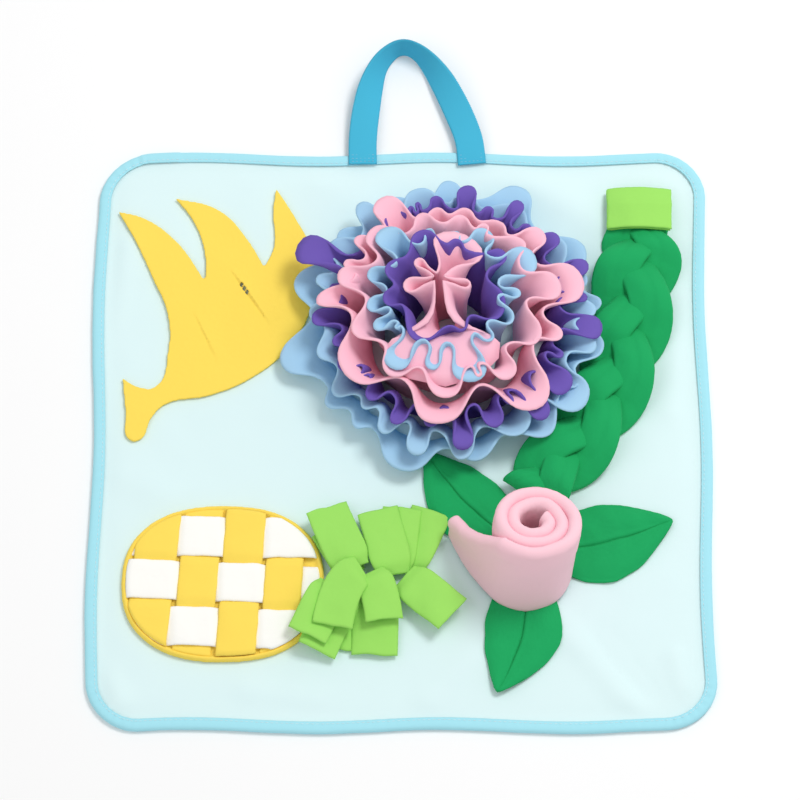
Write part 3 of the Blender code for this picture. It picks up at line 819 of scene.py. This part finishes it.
class SNUFFLE_OT_woven_oval(bpy.types.Operator):
    """The oval of woven strips: four upright, three level, on a rimmed yellow base"""

    bl_idname = "snuffle.woven_oval"
    bl_label = "Woven oval"

    def add_base(self):
        outline = []
        for step in range(48):
            angle = 2 * math.pi * step / 48
            power = 2 / OVAL_POWER
            x = math.copysign(abs(math.cos(angle)) ** power, math.cos(angle)) * OVAL_RADII[0]
            y = math.copysign(abs(math.sin(angle)) ** power, math.sin(angle)) * OVAL_RADII[1]
            outline.append((OVAL_CENTRE[0] + x, OVAL_CENTRE[1] + y, False))

        def shape(x, y, z):
            away = (
                (abs(x - OVAL_CENTRE[0]) / OVAL_RADII[0]) ** OVAL_POWER
                + (abs(y - OVAL_CENTRE[1]) / OVAL_RADII[1]) ** OVAL_POWER
            ) ** (1 / OVAL_POWER)
            inset = (1 - away) * 66
            ridge = math.exp(-(((inset - WELT_INSET) / WELT_HALF) ** 2))
            welt = WELT_RISE * ridge if z > BED + 1 else 0.0
            return x, y, z + welt + swell(x, y) + 0.3 * ripple((x, y, 0), 9)

        mesh = remeshed_slab("oval_base", [tuple(outline)], BED, 2.2, 1.0, shape)
        base = add_piece("oval_base_cloth", mesh, "yellow_fleece", "oval_base")
        roughen(base, 0.3, 2.0)

    def add_strip(self, index, row, crossed, slot, is_upright):
        """One strip over and under the crossed ones: it is over where index + crossing is even."""
        name, middle, width, tilt = row
        centre = Vector(OVAL_CENTRE)
        across, along = OVAL_RADII if is_upright else OVAL_RADII[::-1]
        own_centre, far_centre = (centre.x, centre.y) if is_upright else (centre.y, centre.x)
        own = middle - own_centre
        meets = [(other[1] + other[3] * own - far_centre, other[2]) for other in crossed]

        def is_over(crossing):
            return ((index + crossing) % 2 == 0) == is_upright

        def level(run):
            """The strip's height at this run, between the crossings on its two sides."""
            best = OVER_LEVEL if is_over(0) else UNDER_LEVEL
            for crossing in range(len(meets) - 1):
                place, wide = meets[crossing]
                next_place, next_wide = meets[crossing + 1]
                start, end = place + wide * 0.40, next_place - next_wide * 0.40
                low, high = (OVER_LEVEL if is_over(c) else UNDER_LEVEL for c in (crossing, crossing + 1))
                if run > start:
                    best = low + (high - low) * smooth((run - start) / max(end - start, 1.0))
            return best

        def place(u, v):
            aside = (v - 0.5) * width
            reach = oval_reach(own + aside, across, along, OVAL_BORDER)
            run = (2 * u - 1) * reach
            out = own + aside + tilt * run
            reach = oval_reach(out, across, along, OVAL_BORDER)
            run = (2 * u - 1) * reach
            rise = level(run)
            near_edge = 1 - abs(2 * v - 1)
            crown = 0.55 * smooth(near_edge * 2.2)
            frayed = ripple((run, index * 31, 0), 9, 1.0 if v > 0.5 else 2.0)
            fray = 0.5 * frayed * (1 - smooth(near_edge * 3))
            out += fray * math.copysign(1, aside)
            puff = 0.5 * ripple((run, out, 7.0 + index), 13)
            to_end = reach - abs(run)
            tuck = 1.3 * (1 - smooth(to_end / 3.0)) * (1 if rise > 7 else 0)
            rise += crown + puff - tuck
            if is_upright:
                x, y = centre.x + out, centre.y + run
            else:
                x, y = centre.x + run, centre.y + out
            return (x, y, rise + swell(x, y) * 0.9)

        mesh = grid_mesh(name, 96, 22, place, (2 * along, width))
        if not is_upright:
            mesh.flip_normals()
        strip = add_piece(f"{name}_cloth", mesh, slot, name)
        thicken(strip, 2.0, 0.45)
        roughen(strip, 0.3, 2.0)
        flat_length = 2 * oval_reach(own, across, along, OVAL_BORDER)
        flat_length * MM * 0.97

    def execute(self, context):
        self.add_base()
        for index, row in enumerate(UPRIGHT_STRIPS):
            self.add_strip(index, row, LEVEL_STRIPS, "yellow_fleece", True)
        for index, row in enumerate(LEVEL_STRIPS):
            self.add_strip(index, row, UPRIGHT_STRIPS, "cream_fleece", False)
        return {"FINISHED"}


# ------------------------------------------------------------------ tuft of loose strips

TUFT_CENTRE = (-20, -110)
# name, root, bend and tip in mm, width in mm, layer from the bottom, curl of the tip in mm
TUFT_STRIPS = (
    ("tuft_strip_01", (-34, -110), (-44, -94), (-54, -76), 24, 0, 0.5),
    ("tuft_strip_02", (-34, -108), (-44, -86), (-54, -61), 31, 3, 1.5),
    ("tuft_strip_03", (-4, -108), (-2, -84), (1, -59), 28, 1, 1.0),
    ("tuft_strip_04", (3, -106), (13, -84), (22, -61), 30, 0, 1.0),
    ("tuft_strip_05", (-5, -112), (-10, -88), (-17, -62), 30, 2, 2.0),
    ("tuft_strip_06", (2, -114), (19, -128), (37, -144), 31, 3, 2.0),
    ("tuft_strip_07", (-18, -114), (-18, -140), (-19, -172), 33, 1, 1.0),
    ("tuft_strip_08", (-28, -116), (-34, -140), (-37, -168), 22, 0, 0.5),
    ("tuft_strip_09", (-22, -112), (-14, -128), (-12, -149), 27, 4, 2.5),
    ("tuft_strip_10", (-34, -116), (-48, -140), (-60, -170), 28, 2, 1.0),
    ("tuft_strip_11", (-48, -120), (-56, -136), (-67, -161), 29, 4, 1.5),
    ("tuft_strip_12", (-28, -110), (-44, -118), (-49, -154), 29, 5, 2.0),
)


# Where the tuft climbs onto a neighbour: the step's x, how softly it rises, and its height, in mm
STEP_TO_OVAL = (-62, -4.0, 7.4)
STEP_TO_LEAF = (16, 3.0, 3.6)
TUFT_FOOT, TUFT_DOME, TUFT_SPREAD, TUFT_LAYER = 4.3, 7.0, 42, 2.3


def tuft_height(x, y, layer):
    far = math.hypot(x - TUFT_CENTRE[0], y - TUFT_CENTRE[1])
    dome = TUFT_DOME * math.exp(-((far / TUFT_SPREAD) ** 2))
    steps = sum(
        rise / (1 + math.exp((edge - x) / softness))
        for edge, softness, rise in (STEP_TO_OVAL, STEP_TO_LEAF)
    )
    return TUFT_FOOT + dome + steps + layer * TUFT_LAYER


class SNUFFLE_OT_tuft(bpy.types.Operator):
    """The tuft of twelve loose strips, laid over each other around one seam"""

    bl_idname = "snuffle.tuft"
    bl_label = "Tuft of strips"

    def add_strip(self, index, name, root, bend, tip, width, layer, curl):
        def middle(u):
            return (1 - u) ** 2 * Vector(root) + 2 * u * (1 - u) * Vector(bend) + u**2 * Vector(tip)

        def place(u, v):
            along = (middle(min(u + 0.05, 1.0)) - middle(max(u - 0.05, 0.0))).normalized()
            side = 2 * v - 1
            pinch = 1 - 0.22 * math.exp(-((u / 0.16) ** 2))
            aside = Vector((-along.y, along.x)) * side * width / 2 * pinch
            flat = middle(u) + aside
            flat += along * 1.2 * ripple((side * 14, index * 9, 0), 11) * u
            rise = tuft_height(flat.x, flat.y, layer)
            rise -= 4.2 * math.exp(-((u / 0.13) ** 2))
            rise -= 1.1 * abs(side) ** 3
            rise += curl * u**3 * (0.6 + 0.4 * side * math.sin(index * 2.1))
            rise += 1.1 * ripple((flat.x, flat.y, index * 13.0), 16)
            return (flat.x, flat.y, max(rise, 3.9))

        length = (Vector(bend) - Vector(root)).length + (Vector(tip) - Vector(bend)).length
        mesh = grid_mesh(name, 40, 22, place, (length, width))
        strip = add_piece(f"{name}_cloth", mesh, "lime_fleece", name)
        thicken(strip, 2.1, 0.5)
        roughen(strip, 0.4, 2.0)

    def execute(self, context):
        for index, row in enumerate(TUFT_STRIPS):
            self.add_strip(index, *row)
        return {"FINISHED"}


# ------------------------------------------------------------------ tab and braid

TAB_CENTRE = (177, 178.5)
TAB_LENGTH = 35
TAB_CUT_WIDTH = 98
# The tab lies level on the braid over this share of its length, then falls to the panel
TAB_LEVEL_SHARE, TAB_FALL = 0.55, 12
# The tab's folded section: across from its middle and height, in mm
TAB_SECTION = (
    (22.5, 12.4),
    (8.0, 15.8),
    (-8.0, 16.0),
    (-20.5, 13.2),
    (-23.2, 13.4),
    (-23.6, 14.6),
    (-21.0, 15.9),
    (-8.0, 18.8),
    (8.0, 18.6),
    (23.4, 15.1),
)
# The braid's middle: x, y in mm, its share of full thickness and width, and its height in mm
BRAID_COURSE = (
    (177, 190, 0.40, 0.62, 6.0),
    (176.5, 164, 0.55, 0.74, 7.8),
    (175, 138, 1.0, 1.03, 12.0),
    (170, 98, 1.0, 1.0, 12.0),
    (162, 61, 1.0, 0.97, 12.0),
    (147, 24, 1.0, 0.97, 12.0),
    (126, -10, 1.0, 0.95, 12.4),
    (103, -38, 0.92, 0.85, 12.8),
    (92, -52, 0.62, 0.72, 10.6),
)
BRAID_TURNS = 1.95
BRAID_PHASE = 0.7
BRAID_RISE = 6.0
STRAND_PLUMPNESS = 3.1
STRAND_CREASE = 0.9
LOWEST_STRAND = 3.6


class SNUFFLE_OT_tab(bpy.types.Operator):
    """The folded tab that holds the braid's upper end"""

    bl_idname = "snuffle.tab"
    bl_label = "Folded tab"

    def execute(self, context):
        def place(u, v):
            across, height = spline_at(TAB_SECTION, u)
            fall = max(0.0, v - TAB_LEVEL_SHARE) * TAB_FALL
            slant = 0.6 * (v - 0.5)
            x = TAB_CENTRE[0] + across + slant + 0.5 * ripple((0, v * 35, u * 9), 8)
            y = TAB_CENTRE[1] + (v - 0.5) * TAB_LENGTH + 0.4 * ripple((across, 0, 4), 9)
            return (x, y, height - fall + 0.7 * ripple((across, v * 35, height), 14))

        mesh = grid_mesh("folded_tab", 84, 28, place, (TAB_CUT_WIDTH, TAB_LENGTH))
        mesh.flip_normals()
        tab = add_piece("folded_tab_cloth", mesh, "lime_fleece", "folded_tab")
        thicken(tab, 1.7, 0.5)
        roughen(tab, 0.35, 2.0)
        return {"FINISHED"}


class SNUFFLE_OT_braid(bpy.types.Operator):
    """The thick flat braid of three folded green strips"""

    bl_idname = "snuffle.braid"
    bl_label = "Braid"

    def add_strand(self, index, sizes):
        def middle(t):
            return Vector(spline_at(BRAID_COURSE, t)[:2])

        def place(u, v):
            x, y, thick, wide, height = spline_at(BRAID_COURSE, u)
            along = (middle(min(u + 0.01, 1.0)) - middle(max(u - 0.01, 0.0))).normalized()
            aside = Vector((-along.y, along.x))
            phase = 2 * math.pi * (BRAID_TURNS * u + index / 3) + BRAID_PHASE
            swing = sizes.braid_swing / MM * wide * math.sin(phase)
            rise = BRAID_RISE * thick * math.sin(2 * phase)
            turn = 2 * math.pi * v
            half = sizes.braid_strip / MM / 2 * wide
            side, up = math.cos(turn), math.sin(turn)
            flat = math.copysign(abs(side) ** 0.8, side)
            plump = math.copysign(abs(up) ** 0.75, up)
            lean = math.cos(phase)
            out = swing + half * flat
            body = STRAND_PLUMPNESS * thick * plump * (1 + 0.25 * math.cos(phase * 2))
            crease = STRAND_CREASE * math.exp(-(((flat - 0.25 * lean) / 0.16) ** 2)) * max(up, 0)
            lift = height + rise + body - crease - 1.6 * thick * flat * flat * max(up, 0)
            lift += 1.1 * thick * flat * lean
            wrinkle = 1.0 * ripple((x * 0.5, y * 0.8, index * 19 + flat * 9), 9) * max(up, 0)
            return Vector((x + aside.x * out, y + aside.y * out, max(lift + wrinkle, LOWEST_STRAND)))

        mesh = grid_mesh(f"braid_strand_{index + 1}", 200, 44, place, (330, 70))
        strand = add_piece(
            f"braid_strand_{index + 1}_cloth", mesh, "green_fleece", f"braid_strand_{index + 1}"
        )
        solid = strand.modifiers.new("Thickness", "SOLIDIFY")
        solid.thickness = 1.6 * MM
        solid.offset = -1.0
        roughen(strand, 0.5, 2.2)

    def execute(self, context):
        for index in range(3):
            self.add_strand(index, context.scene.mat_sizes)
        return {"FINISHED"}


# ------------------------------------------------------------------ leaves

# name, base and tip in mm, half width, sideways bow of the midrib, and curl of the tip, in mm
LEAVES = (
    ("leaf_right", (106, -92), (196, -68), 30, -4, 1.0),
    ("leaf_low", (92, -112), (69, -200), 28, 6, 3.0),
    ("leaf_left", (77, -83), (18, -15), 27, 4, 1.0),
)


LEAF_PUFF, LEAF_PINCH, LEAF_SEAM = 3.4, 1.6, 1.5
LEAF_AREA_SHARE = 0.72


class SNUFFLE_OT_leaves(bpy.types.Operator):
    """The three leaves, each pinched and sewn along its midrib"""

    bl_idname = "snuffle.leaves"
    bl_label = "Leaves"

    def add_leaf(self, index, name, base, tip, half_width, bow, curl):
        run = Vector(tip) - Vector(base)
        aside = Vector((-run.y, run.x)).normalized()

        def place(u, v):
            side = 2 * v - 1
            open_share = min(0.06 + 0.94 * u, 1.0)
            spread = half_width * max(math.sin(math.pi * open_share**0.85), 0.0) ** 0.8
            spread = max(spread, 0.8) * (1 + 0.05 * ripple((u * 90, side * 20, index), 16))
            bowed = bow * math.sin(math.pi * u) + 0.8 * ripple((u * 80, 0, index * 7), 20)
            flat = Vector(base) + run * u + aside * (bowed + side * spread)
            lobe = math.sin(math.pi * min(abs(side) * 1.1, 1.0)) ** 0.7
            puff = LEAF_PUFF * lobe * math.sin(math.pi * u) ** 0.5
            pinch = LEAF_PINCH * math.exp(-((abs(side) / 0.13) ** 2)) * smooth((0.95 - u) * 6)
            seam = LEAF_SEAM * math.exp(-((side / 0.035) ** 2))
            rise = BED + 1.3 + puff + pinch - seam + curl * u**5
            rise += 0.8 * ripple((flat.x, flat.y, index * 11.0), 13)
            return (flat.x, flat.y, rise + swell(flat.x, flat.y) * 0.9)

        mesh = grid_mesh(name, 72, 56, place, (run.length, 2 * half_width))
        leaf = add_piece(f"{name}_cloth", mesh, "green_fleece", name)
        thicken(leaf, 2.0, 0.5)
        roughen(leaf, 0.45, 2.1)
        size = (2 * half_width * MM, run.length * MM)
        cut = size[0] * size[1] * LEAF_AREA_SHARE

    def execute(self, context):
        for index, row in enumerate(LEAVES):
            self.add_leaf(index, *row)
        return {"FINISHED"}


# ------------------------------------------------------------------ rose

ROSE_CENTRE = (91.0, -104.0)
ROSE_HEIGHT = 52.0
ROSE_BED = 7.0
ROSE_TURNS = 2.5
ROSE_START = math.radians(222)
FLAP_TIP = (37.0, -78.0)
FLAP_SHARE = 0.16
FLAP_BOW = (-2.4, -1.8)
ROSE_LEAN = (0.08, 0.27)
# Across the folded strip: the share of its width on each side of the rolled top edge
SIDE_SHARE = 0.40


class SNUFFLE_OT_rose(bpy.types.Operator):
    """The rolled rose: one strip folded lengthwise and wound up, its outer end left free"""

    bl_idname = "snuffle.rose"
    bl_label = "Rolled rose"

    def execute(self, context):
        sizes = context.scene.mat_sizes
        outer, inner = sizes.rose_outer / MM, sizes.rose_inner / MM
        half = sizes.rose_wall / MM / 2
        centre = Vector(ROSE_CENTRE)
        leave = centre + outer * Vector((math.cos(ROSE_START), math.sin(ROSE_START)))

        def course(u):
            """The folded strip's middle at its foot, and its height."""
            if u < FLAP_SHARE:
                part = u / FLAP_SHARE
                flat = Vector(FLAP_TIP).lerp(leave, part)
                flat += Vector(FLAP_BOW) * math.sin(math.pi * part)
                return flat, ROSE_HEIGHT * (0.42 + 0.58 * part**1.5)
            part = (u - FLAP_SHARE) / (1 - FLAP_SHARE)
            angle = ROSE_START + part * ROSE_TURNS * 2 * math.pi
            radius = outer + (inner - outer) * part + 1.1 * ripple((part * 60, 3, 0), 9)
            high = ROSE_HEIGHT * (1.0 - 0.05 * part) + 1.6 * ripple((part * 90, 9, 0), 12)
            return centre + radius * Vector((math.cos(angle), math.sin(angle))), high

        def place(u, v):
            flat, high = course(u)
            ahead, behind = course(min(u + 0.004, 1.0))[0], course(max(u - 0.004, 0.0))[0]
            along = (ahead - behind).normalized()
            aside = Vector((along.y, -along.x))
            top = high - ROSE_LEAN[1] * (flat.y - centre.y)
            turn = math.pi * min(max((v - SIDE_SHARE) / (1 - 2 * SIDE_SHARE), 0.0), 1.0)
            side = math.cos(turn)
            share = min(v, 1 - v) / SIDE_SHARE
            body = half * (0.72 + 0.34 * smooth((share - 0.45) * 2.0))
            if 0 < turn < math.pi:
                lift = top + body * 1.15 * math.sin(turn)
            else:
                lift = top * min(share, 1.0)
            out = side * body + 0.9 * ripple((u * 300, lift, v * 4), 11) * min(share, 1.0)
            spot = flat + aside * out
            spot += Vector(ROSE_LEAN) * lift
            return (spot.x, spot.y, ROSE_BED + lift)

        length = 2 * math.pi * ROSE_TURNS * (outer + inner) / 2 + 45
        mesh = grid_mesh("rolled_rose", 300, 60, place, (length, 110))
        rose = add_piece("rolled_rose_cloth", mesh, "rose_fleece", "rolled_rose")
        thicken(rose, 1.8, 0.5)
        roughen(rose, 0.45, 2.2)
        return {"FINISHED"}


# ------------------------------------------------------------------ frilled flower

FLOWER_CENTRE = (35.5, 82.0)
FLARE = math.radians(81)
FRILL_ROWS = 22
POINTS_PER_FOLD = 24
# name, slot, root radius, edge radius, edge height, shift of the edge left and back, lift over the
# braid (all mm), folds, least and greatest tightness of a fold in degrees, unevenness, seed
FRILLS = (
    ("blue_frill_1", "powder_blue_fleece", 88, 108, 19, 0, 0, 14, 15, 38, 66, 0.5, 1),
    ("blue_frill_2", "powder_blue_fleece", 79, 99, 32, 0, 0, 6, 20, 45, 88, 0.6, 2),
    ("purple_frill_1", "purple_fleece", 70, 88, 43, 0, 2, 2, 30, 55, 112, 0.7, 3),
    ("pink_frill_1", "pink_fleece", 60, 80, 52, 2, 2, 0, 13, 40, 92, 0.7, 4),
    ("pink_frill_2", "pink_fleece", 49, 67, 59, 3, 3, 0, 13, 50, 100, 0.7, 5),
    ("blue_frill_3", "powder_blue_fleece", 38, 50, 64, 5, 6, 0, 15, 70, 113, 0.7, 6),
    ("purple_frill_2", "purple_fleece", 27, 39, 68, 7, 10, 0, 8, 45, 95, 0.6, 7),
    ("pink_heart", "pink_fleece", 12, 21, 72, 8, 12, 0, 5, 92, 116, 0.4, 8),
)
BRAID_SIDE = math.radians(-32)
BRAID_SPREAD = math.radians(44)
FOLD_GROWTH = 0.62
RING_TURN = 0.4
EDGE_DROOP = 0.34
# How far loose cloth wanders sideways and upwards, in mm
WANDER, WANDER_UP = 2.0, 3.2


def folded_lines(folds, least, most, unevenness, seed):
    """Rows of (angle, reach) arrays from the sewn root, which is smooth, to the deeply folded edge.

    Along a row the cloth's direction swings to and fro, so a tight fold loops back on itself.
    Reach is in units of the ring's radius.
    """
    chance = random.Random(seed)
    shares = np.array([1 + chance.uniform(-unevenness, unevenness) for _ in range(folds)])
    shares *= 2 * math.pi / shares.sum()
    tightness = [math.radians(chance.uniform(least, most)) for _ in range(folds)]
    skews = [chance.uniform(-0.35, 0.35) for _ in range(folds)]
    steps = (np.arange(POINTS_PER_FOLD) + 0.5) / POINTS_PER_FOLD * 2 * math.pi
    lines = []
    for row in range(FRILL_ROWS + 1):
        grown = (row / FRILL_ROWS) ** FOLD_GROWTH
        angles, reaches = [0.0], [0.0]
        for share, tight, skew in zip(shares, tightness, skews):
            swing = tight * grown * np.sin(steps + skew * np.sin(steps))
            size = share / np.cos(swing).sum()
            angles.extend(angles[-1] + np.cumsum(np.cos(swing)) * size)
            reaches.extend(reaches[-1] + np.cumsum(np.sin(swing)) * size)
        reach = np.array(reaches)
        reach -= np.linspace(0, reach[-1], len(reach))
        lines.append((np.array(angles), reach - reach.mean()))
    return lines


class SNUFFLE_OT_frills(bpy.types.Operator):
    """The big flower: eight gathered frills sewn down in rings, each flaring into deep folds"""

    bl_idname = "snuffle.frills"
    bl_label = "Frilled flower"

    def add_frill(self, index, name, slot, root, edge, height, left, back, lifted, folds, *folding):
        lines = folded_lines(folds, *folding)
        columns = folds * POINTS_PER_FOLD
        foot = BED + 0.8
        centre_x, centre_y = FLOWER_CENTRE

        def place(u, v):
            row, column = round(v * FRILL_ROWS), round(u * columns) % columns
            angle, reach = lines[row][0][column], lines[row][1][column]
            angle += RING_TURN * index
            flare = (1 - math.cos(v * FLARE)) / (1 - math.cos(FLARE))
            radius = root + (edge - root) * flare
            out = radius * (1 + reach)
            from_braid = (angle - BRAID_SIDE + math.pi) % (2 * math.pi) - math.pi
            lift = foot + (height - foot) * math.sin(v * FLARE)
            lift += v * lifted * math.exp(-((from_braid / BRAID_SPREAD) ** 2))
            lift -= EDGE_DROOP * v * reach * radius
            spot = Vector((
                centre_x - left * v + out * math.cos(angle),
                centre_y + back * v + out * math.sin(angle),
                lift,
            ))
            loose = smooth(v * 1.3)
            spot.x += WANDER * loose * ripple(spot, 24, index + 0.3)
            spot.y += WANDER * loose * ripple(spot, 24, index + 5.3)
            spot.z += WANDER_UP * loose * ripple(spot, 27, index + 9.3)
            spot.z = max(spot.z, foot)
            return spot

        wide = height * 1.15
        edge_angles, edge_reach = lines[-1]
        steps = np.hypot(np.diff(edge_angles), np.diff(edge_reach)) * edge
        length = float(steps.sum())
        mesh = grid_mesh(name, columns, FRILL_ROWS, place, (length, wide))
        frill = add_piece(f"{name}_cloth", mesh, slot, name)
        thicken(frill, 2.0, 0.5)
        roughen(frill, 0.45, 2.2)

    def execute(self, context):
        for index, row in enumerate(FRILLS):
            self.add_frill(index, *row)
        return {"FINISHED"}


# ------------------------------------------------------------------ stage


class SNUFFLE_OT_stage(bpy.types.Operator):
    """A pale floor, soft studio light and the camera"""

    bl_idname = "snuffle.stage"
    bl_label = "Studio"

    def add_light(self, name, place, size, power):
        data = bpy.data.lights.new(name, "AREA")
        data.shape = "DISK"
        data.size = size
        data.energy = power
        light = bpy.data.objects.new(name, data)
        light.location = place
        light.rotation_euler = Vector(place).to_track_quat("Z", "Y").to_euler()
        bpy.context.scene.collection.objects.link(light)

    def execute(self, context):
        scene = context.scene
        studio = scene.mat_studio
        bm = bmesh.new()
        bmesh.ops.create_grid(bm, x_segments=8, y_segments=8, size=6.0)
        mesh = bpy.data.meshes.new("floor")
        bm.to_mesh(mesh)
        bm.free()
        mesh.materials.append(floor_paper("floor_paper", tuple(studio.floor)))
        floor = bpy.data.objects.new("floor", mesh)
        scene.collection.objects.link(floor)

        self.add_light("softbox_key", (0.95, 0.75, 2.1), 0.9, studio.key_power)
        self.add_light("softbox_fill", (-1.3, -0.9, 1.9), 1.6, studio.fill_power)
        world = bpy.data.worlds.new("studio_air")
        world.use_nodes = True
        air = world.node_tree.nodes["Background"]
        air.inputs["Color"].default_value = (1.0, 1.0, 1.0, 1.0)
        air.inputs["Strength"].default_value = studio.air
        scene.world = world
        scene.view_settings.view_transform = "Standard"

        data = bpy.data.cameras.new("view")
        data.lens = studio.lens
        data.sensor_width = 36.0
        data.clip_end = 30.0
        camera = bpy.data.objects.new("view", data)
        lean = studio.elevation
        aim = Vector((-0.0007, 0.0297, 0.0))
        away = Vector((0.0, -math.cos(lean), math.sin(lean)))
        camera.location = aim + away * studio.distance
        camera.rotation_euler = (math.pi / 2 - lean, 0.0, 0.0)
        scene.collection.objects.link(camera)
        scene.camera = camera
        return {"FINISHED"}


# ------------------------------------------------------------------ add-on


def colour_property(label, use, value):
    return bpy.props.FloatVectorProperty(
        name=label, description=use, subtype="COLOR", default=value, min=0.0, max=1.0
    )


def length_property(label, use, value):
    return bpy.props.FloatProperty(
        name=label, description=use, default=value, min=0.0, subtype="DISTANCE", unit="LENGTH",
        precision=4,
    )


class MatColours(bpy.types.PropertyGroup):
    """The colour of each cloth"""

    panel_fleece: colour_property("Panel", "Pale aqua fleece of the panel", (0.72, 0.91, 0.91))
    binding_tape: colour_property("Binding", "Cyan tape round the edge", (0.36, 0.76, 0.87))
    webbing: colour_property("Webbing", "Blue webbing of the handle", (0.045, 0.42, 0.62))
    yellow_fleece: colour_property("Yellow", "Fruit bunch and woven strips", (0.97, 0.66, 0.09))
    cream_fleece: colour_property("Cream", "Level strips of the weave", (0.95, 0.93, 0.88))
    lime_fleece: colour_property("Lime", "Tuft strips and tab", (0.29, 0.66, 0.095))
    green_fleece: colour_property("Green", "Braid and leaves", (0.002, 0.33, 0.095))
    rose_fleece: colour_property("Rose", "Rolled rose", (0.92, 0.56, 0.64))
    pink_fleece: colour_property("Pink", "Pink frills", (0.94, 0.45, 0.58))
    powder_blue_fleece: colour_property("Powder blue", "Blue frills", (0.31, 0.55, 0.76))
    purple_fleece: colour_property("Purple", "Purple frills", (0.115, 0.07, 0.31))


class MatSizes(bpy.types.PropertyGroup):
    """Sizes of the pieces that can change without changing the frame"""

    braid_swing: length_property("Braid swing", "How far a strand swings to each side", 0.0155)
    braid_strip: length_property("Braid strip", "Width of one folded strand", 0.029)
    rose_outer: length_property("Rose outside", "Radius of the rose's outer turn", 0.0325)
    rose_inner: length_property("Rose inside", "Radius of the rose's inner turn", 0.0085)
    rose_wall: length_property("Rose wall", "Thickness of the folded strip", 0.0076)


class MatStudio(bpy.types.PropertyGroup):
    """Camera and light"""

    elevation: bpy.props.FloatProperty(
        name="Elevation", description="Camera's height angle", default=math.radians(66.5), subtype="ANGLE"
    )
    distance: length_property("Distance", "From the camera to the mat", 3.607)
    lens: bpy.props.FloatProperty(
        name="Lens", description="Focal length in millimetres", default=221.85, min=1.0
    )
    key_power: bpy.props.FloatProperty(
        name="Key light", description="Power of the key softbox", default=27.0, subtype="POWER"
    )
    fill_power: bpy.props.FloatProperty(
        name="Fill light", description="Power of the fill softbox", default=5.0, subtype="POWER"
    )
    air: bpy.props.FloatProperty(
        name="Air", description="Brightness of the white surroundings", default=0.62, min=0.0
    )
    floor: colour_property("Floor", "Pale paper floor", (0.96, 0.96, 0.96))


PIECES = (
    SNUFFLE_OT_panel,
    SNUFFLE_OT_binding,
    SNUFFLE_OT_handle,
    SNUFFLE_OT_fruit_bunch,
    SNUFFLE_OT_woven_oval,
    SNUFFLE_OT_tuft,
    SNUFFLE_OT_braid,
    SNUFFLE_OT_tab,
    SNUFFLE_OT_leaves,
    SNUFFLE_OT_rose,
    SNUFFLE_OT_frills,
    SNUFFLE_OT_stage,
)


class SNUFFLE_PT_sidebar(bpy.types.Panel):
    """Lists the mat's pieces, colours and sizes"""

    bl_idname = "SNUFFLE_PT_sidebar"
    bl_label = "Snuffle mat"
    bl_space_type = "VIEW_3D"
    bl_region_type = "UI"
    bl_category = "Snuffle mat"

    def draw(self, context):
        for operator in PIECES:
            self.layout.operator(operator.bl_idname)
        for group in (context.scene.mat_colours, context.scene.mat_sizes, context.scene.mat_studio):
            for name in group.bl_rna.properties.keys():
                if name not in ("rna_type", "name"):
                    self.layout.prop(group, name)


CLASSES = (MatColours, MatSizes, MatStudio, *PIECES, SNUFFLE_PT_sidebar)


def register():
    for cls in CLASSES:
        bpy.utils.register_class(cls)
    bpy.types.Scene.mat_colours = bpy.props.PointerProperty(type=MatColours)
    bpy.types.Scene.mat_sizes = bpy.props.PointerProperty(type=MatSizes)
    bpy.types.Scene.mat_studio = bpy.props.PointerProperty(type=MatStudio)


def unregister():
    del bpy.types.Scene.mat_studio
    del bpy.types.Scene.mat_sizes
    del bpy.types.Scene.mat_colours
    for cls in reversed(CLASSES):
        bpy.utils.unregister_class(cls)


def main():
    register()
    bpy.ops.snuffle.panel()
    bpy.ops.snuffle.binding()
    bpy.ops.snuffle.handle()
    bpy.ops.snuffle.fruit_bunch()
    bpy.ops.snuffle.woven_oval()
    bpy.ops.snuffle.tuft()
    bpy.ops.snuffle.braid()
    bpy.ops.snuffle.tab()
    bpy.ops.snuffle.leaves()
    bpy.ops.snuffle.rose()
    bpy.ops.snuffle.frills()
    bpy.ops.snuffle.stage()


if __name__ == "__main__":
    main()
